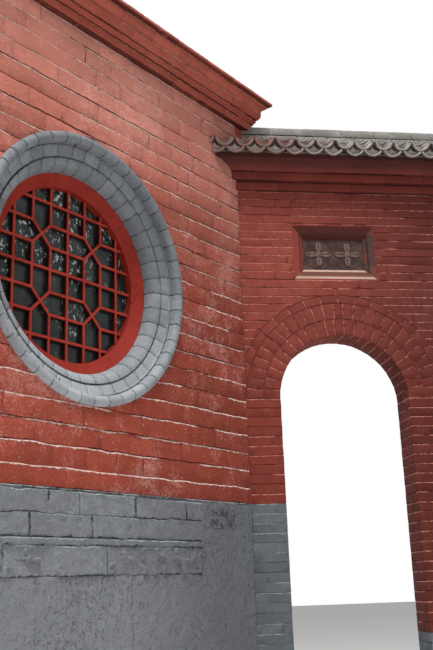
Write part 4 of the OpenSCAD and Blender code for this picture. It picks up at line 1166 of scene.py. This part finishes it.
def tile_mortar(back, seed, under=False):
    """Mortar pressed between the tiles at the eave: below, it follows a drip tile's hollow; above, the round
    undersides of the two pans that meet over it. It is set back a little, and more so higher up. The mortar
    under the drip tiles fills the corners between two of them down to the lip."""
    rng = np.random.default_rng(seed)
    numbers = np.arange(-2, int(gate_run / tile_pitch) + 1)
    half, plug_d = (tile_pitch - 0.004) / 2, 0.09
    across = np.linspace(-half, half, tile_arc)
    drip_r, pan_r = ((half ** 2 + sag ** 2) / (2 * sag) for sag in (drip_sag, pan_sag))
    from_pan = half - np.abs(across)
    if under:
        foot, head = np.zeros(tile_arc), drip_r - np.sqrt(drip_r ** 2 - from_pan ** 2)
    else:
        foot = drip_r - np.sqrt(drip_r ** 2 - across ** 2)
        head = drip_sag + pan_r - np.sqrt(pan_r ** 2 - from_pan ** 2)
    shares = np.array([0.0, 0.3, 0.6, 1.0])[:, None]
    set_back = 0.005 + 0.014 * shares + 0.012 * under
    x, s, h = np.broadcast_arrays(across, set_back, foot * (1 - shares) + head * shares)
    x, s, h = (np.broadcast_to(values, (len(numbers), *h.shape)) for values in (x, s, h))
    s = s + rng.normal(0, 0.003, (len(numbers), 1, 1))
    s = s + 0.003 * grain(x + numbers[:, None, None], h, 0.0, 0.02, seed)
    s = np.stack([s, np.full_like(s, plug_d)], 1)
    x, h = (np.stack([values, values], 1) for values in (x, h))
    x = x + ((numbers + 0.5 * (not under)) * tile_pitch + tile_start)[:, None, None, None]
    y, z = on_slope(s, h, back)
    x = np.clip(x, beside_hall(y) + 0.001, gate_run)
    points = np.stack([corner[0] + x, corner[1] + y, z], -1).reshape(-1, 3)
    cell, rim = grid_faces(4, tile_arc)
    behind = 4 * tile_arc
    sides = np.stack([rim, np.roll(rim, -1), np.roll(rim, -1) + behind, rim + behind], -1)[:, ::-1]
    quads = np.concatenate([cell, sides, cell[:, ::-1] + behind])
    quads = (quads + 2 * behind * np.arange(len(numbers))[:, None, None]).reshape(-1, 4)
    quads = quads[:, ::(-1 if back else 1)]
    tone = rng.random((len(numbers), 1, 1, 1))
    marks = np.stack(np.broadcast_arrays(tone, 1.0 if under else shares, tone, x)[:3], -1).reshape(-1, 3)
    return points, [quads], marks


def tile_finish():
    """Unglazed grey tile: lime and lichen in pale blotches, a pale line of painted highlight along the upper
    edge of each tile's foot, red splashes at the hall.
    """
    pot = Pot("roof_tile")
    tone, foot, across = pot.marks()[:3]
    cloud = pot.noise(7.0, 6.0, 0.65)
    fine = pot.noise(70.0, 8.0, 0.7)
    colour = pot.mix(pot.band(cloud * 0.6 + fine * 0.4, 0.38, 0.62), shade(80, 76, 72), shade(136, 129, 123))
    colour = pot.scaled(colour, 0.75 + tone * 0.4)
    # Painted highlight along the upper edge of each tile's foot.
    rim = pot.band(foot + (fine - 0.5) * 0.1, 0.95, 0.98) * pot.band(across + (fine - 0.5) * 0.6, 0.45, 0.8)
    colour = pot.mix(rim * 0.75, colour, shade(206, 200, 192))
    splash = pot.band((cloud - 0.5) * 0.9 - pot.split(pot.place)[0], -corner[0] - 0.75, -corner[0] - 0.2)
    colour = pot.mix(splash * 0.65, colour, shade(116, 68, 58))
    return pot.done(colour, 0.85, fine * 0.5 + cloud, 0.0015)


def mortar(name, shades, scale, band, deep, by_mark=False):
    """Lime mortar: two shades in lumps, or, by mark, one over the other with a ragged edge between."""
    pot = Pot(name)
    lump = pot.noise(scale, 6.0, 0.7)
    share = pot.marks()[1] + (lump - 0.5) * 0.3 if by_mark else lump
    return pot.done(pot.mix(pot.band(share, *band), *(shade(*mixed) for mixed in shades)), 0.92, lump, deep)


tile_paint = tile_finish()
pans = {"shift": 0.0, "raised": drip_sag - 0.010, "setback": -0.012, "sag": pan_sag,
        "lengths": [(0.0, 0.15), (0.022, 0.20), (0.060, 0.22), (0.120, 0.22)]}
drips = {"shift": 0.5, "raised": -0.016, "setback": -0.022, "sag": drip_sag, "lengths": [(0.0, 0.30)]}
for name, row, seed in (("pan_tiles", pans, 181), ("drip_tiles", drips, 183)):
    both = joined(*(tile_row(**row, seed=seed + back, back=back) for back in (0, 1)))
    add_piece(name, both, tile_paint, "roof_tile", name + "_front", name + "_back")
finish_nodes(mortar("lime_mortar", [(74, 66, 60), (140, 128, 118)], 22.0, (0.35, 0.65), 0.006), "coping_bed")
# The upper part of each eave plug, up under the pans, and the mortar under the drip tiles take the dark
# shade: dark mortar with painted shade.
plug_paint = mortar("eave_mortar", [(152, 145, 138), (58, 48, 44)], 60.0, (0.42, 0.60), 0.003, by_mark=True)
plugs = joined(*(tile_mortar(bool(n % 2), 201 + n, n > 1) for n in range(4)))
add_piece("eave_mortar", plugs, plug_paint, "lime_mortar")


# The ridge. Two courses of thin bricks stand on the mortar bed, and a third of thicker ones, split and
# ragged along the top, lies over them. Near the hall they share its red wash, farther off they are bare;
# here the wash goes from red-brown at their foot to grey at their top.
def ridge_run(face_y, low, high, pitch, seed, back):
    """One side of a course of the ridge, from its face back to the middle of the ridge."""
    places, stations = joints_along(gate_run + ridge_lap, pitch, 1, seed)
    start = [corner[0] - ridge_lap, head_low[1] + head_high[1] - face_y if back else face_y, 0.0]
    starts = start + places[:, None] * along_gate
    starts[0, 0], starts[-1, 0] = start[0], head_high[0]
    stations[[0, -1], 0] = 0.0
    outline = plank(face_y - ridge_mid, 0.0, low, high, 0.004)
    out = into_gate if back else -into_gate
    return carried(outline, starts, out, up, stations, False, press=0.003, lips=True)


cap_low, cap_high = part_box("ridge_cap")
ridge_lap, ridge_mid = 0.02, (ridge_low[1] + ridge_high[1]) / 2
thin_beds = ridge_low[2], (ridge_low[2] + ridge_high[2]) / 2, ridge_high[2]
thin_pitch, thick_pitch = 0.26, 0.28
ridge_paint = limewash("ridge_wash", [(92, 68, 61), (122, 119, 115), (192, 190, 186), (60, 52, 46)],
                       span=(4.5, 4.85), wear_and_light=(0.6, 0.8, 0.9), specks=0.9, deep=0.004, wide=0.006, pace=4.0)
for name, node, slot, face_y, pitch, beds in (
        ("ridge_bricks", "ridge_course", "gate_brick", ridge_low[1], thin_pitch, thin_beds),
        ("ridge_top_bricks", "ridge_cap", "roof_tile", cap_low[1], thick_pitch, (cap_low[2], cap_high[2]))):
    runs = [ridge_run(face_y, low, high, pitch, 191 + number + 7 * back, back)
            for back in (0, 1) for number, (low, high) in enumerate(zip(beds[:-1], beds[1:]))]
    add_piece(name, joined(*runs), ridge_paint, slot, node)


# The view and the studio. The camera stands 1.5 m above the ground, to the left of the doorway, and looks
# up. The floor is pale, the surround is white, one lamp hangs high in front, and a weak one on the right.
def stood(name, data, sideways, above, place):
    """Puts a camera or a lamp at a place, by its own right and its own up; it looks away from their cross."""
    pose = np.eye(4)
    pose[:3] = np.stack([sideways, above, np.cross(sideways, above), place], 1)
    holder = bpy.data.objects.new(name, data)
    holder.matrix_world = Matrix(pose.tolist())
    bpy.context.scene.collection.objects.link(holder)
    return holder


def lamp(name, place, target, size, watts):
    """A square lamp that faces its target."""
    light = bpy.data.lights.new(name, "AREA")
    light.size, light.energy = size, watts
    toward = (target - place) / np.linalg.norm(target - place)
    sideways = np.cross(toward, up) / np.linalg.norm(np.cross(toward, up))
    stood(name, light, sideways, np.cross(sideways, toward), place)


yaw, pitch, roll = (math.radians(angle) for angle in (7.97, 16.23, -1.98))
level_right = np.array([math.cos(yaw), -math.sin(yaw), 0.0])
level_ahead = np.array([math.sin(yaw), math.cos(yaw), 0.0])
upright = -math.sin(pitch) * level_ahead + math.cos(pitch) * up
right = math.cos(roll) * level_right + math.sin(roll) * upright
above = -math.sin(roll) * level_right + math.cos(roll) * upright
focal_length, picture_height = 898.1, 650
lens = bpy.data.cameras.new("view")
lens.sensor_width = 36.0
lens.lens = focal_length / picture_height * lens.sensor_width
eye = corner + np.array([-1.0233, -5.9621, 1.50])
bpy.context.scene.camera = stood("view", lens, right, above, eye)
floor_mesh = bpy.data.meshes.new("studio_floor")
floor_r, floor_z = 60, -0.001
floor_corners = [(x * floor_r, y * floor_r, floor_z) for x, y in ((-1, -1), (1, -1), (1, 1), (-1, 1))]
floor_mesh.from_pydata(floor_corners, [], [(0, 1, 2, 3)])
floor_mesh.materials.append(Pot("studio_floor").done(shade(250, 249, 247), 0.9))
floor = bpy.data.objects.new("studio_floor", floor_mesh)
bpy.context.scene.collection.objects.link(floor)
middle = corner + np.array([-0.5, 0.0, 2.8])
lamp("key", middle + np.array([-1.6, -4.8, 10.8]), middle, size=4.0, watts=2300.0)
lamp("fill", middle + np.array([5.0, -6.0, 2.0]), middle, size=6.0, watts=60.0)

# The surround. It is plain white to the camera and in mirrored or bent rays, and dimmer as a light on the
# walls, so that they show about the colours that they are painted.
world = bpy.data.worlds.new("studio")
world.use_nodes = True
bpy.context.scene.world = world
nodes, links = world.node_tree.nodes, world.node_tree.links
ambient, seen = nodes["Background"], nodes.new("ShaderNodeBackground")
for background, strength in ((ambient, 0.36), (seen, 1.0)):
    background.inputs["Color"].default_value = (1.0, 1.0, 1.0, 1.0)
    background.inputs["Strength"].default_value = strength
path = nodes.new("ShaderNodeLightPath")
is_seen = path.outputs["Is Camera Ray"]
for ray in ("Is Glossy Ray", "Is Transmission Ray"):
    either = nodes.new("ShaderNodeMath")
    either.operation = "MAXIMUM"
    links.new(is_seen, either.inputs[0])
    links.new(path.outputs[ray], either.inputs[1])
    is_seen = either.outputs[0]
blend = nodes.new("ShaderNodeMixShader")
for socket, wire in zip(blend.inputs, (is_seen, ambient.outputs[0], seen.outputs[0])):
    links.new(wire, socket)
links.new(blend.outputs[0], nodes["World Output"].inputs[0])
bpy.context.scene.view_settings.view_transform = "Standard"
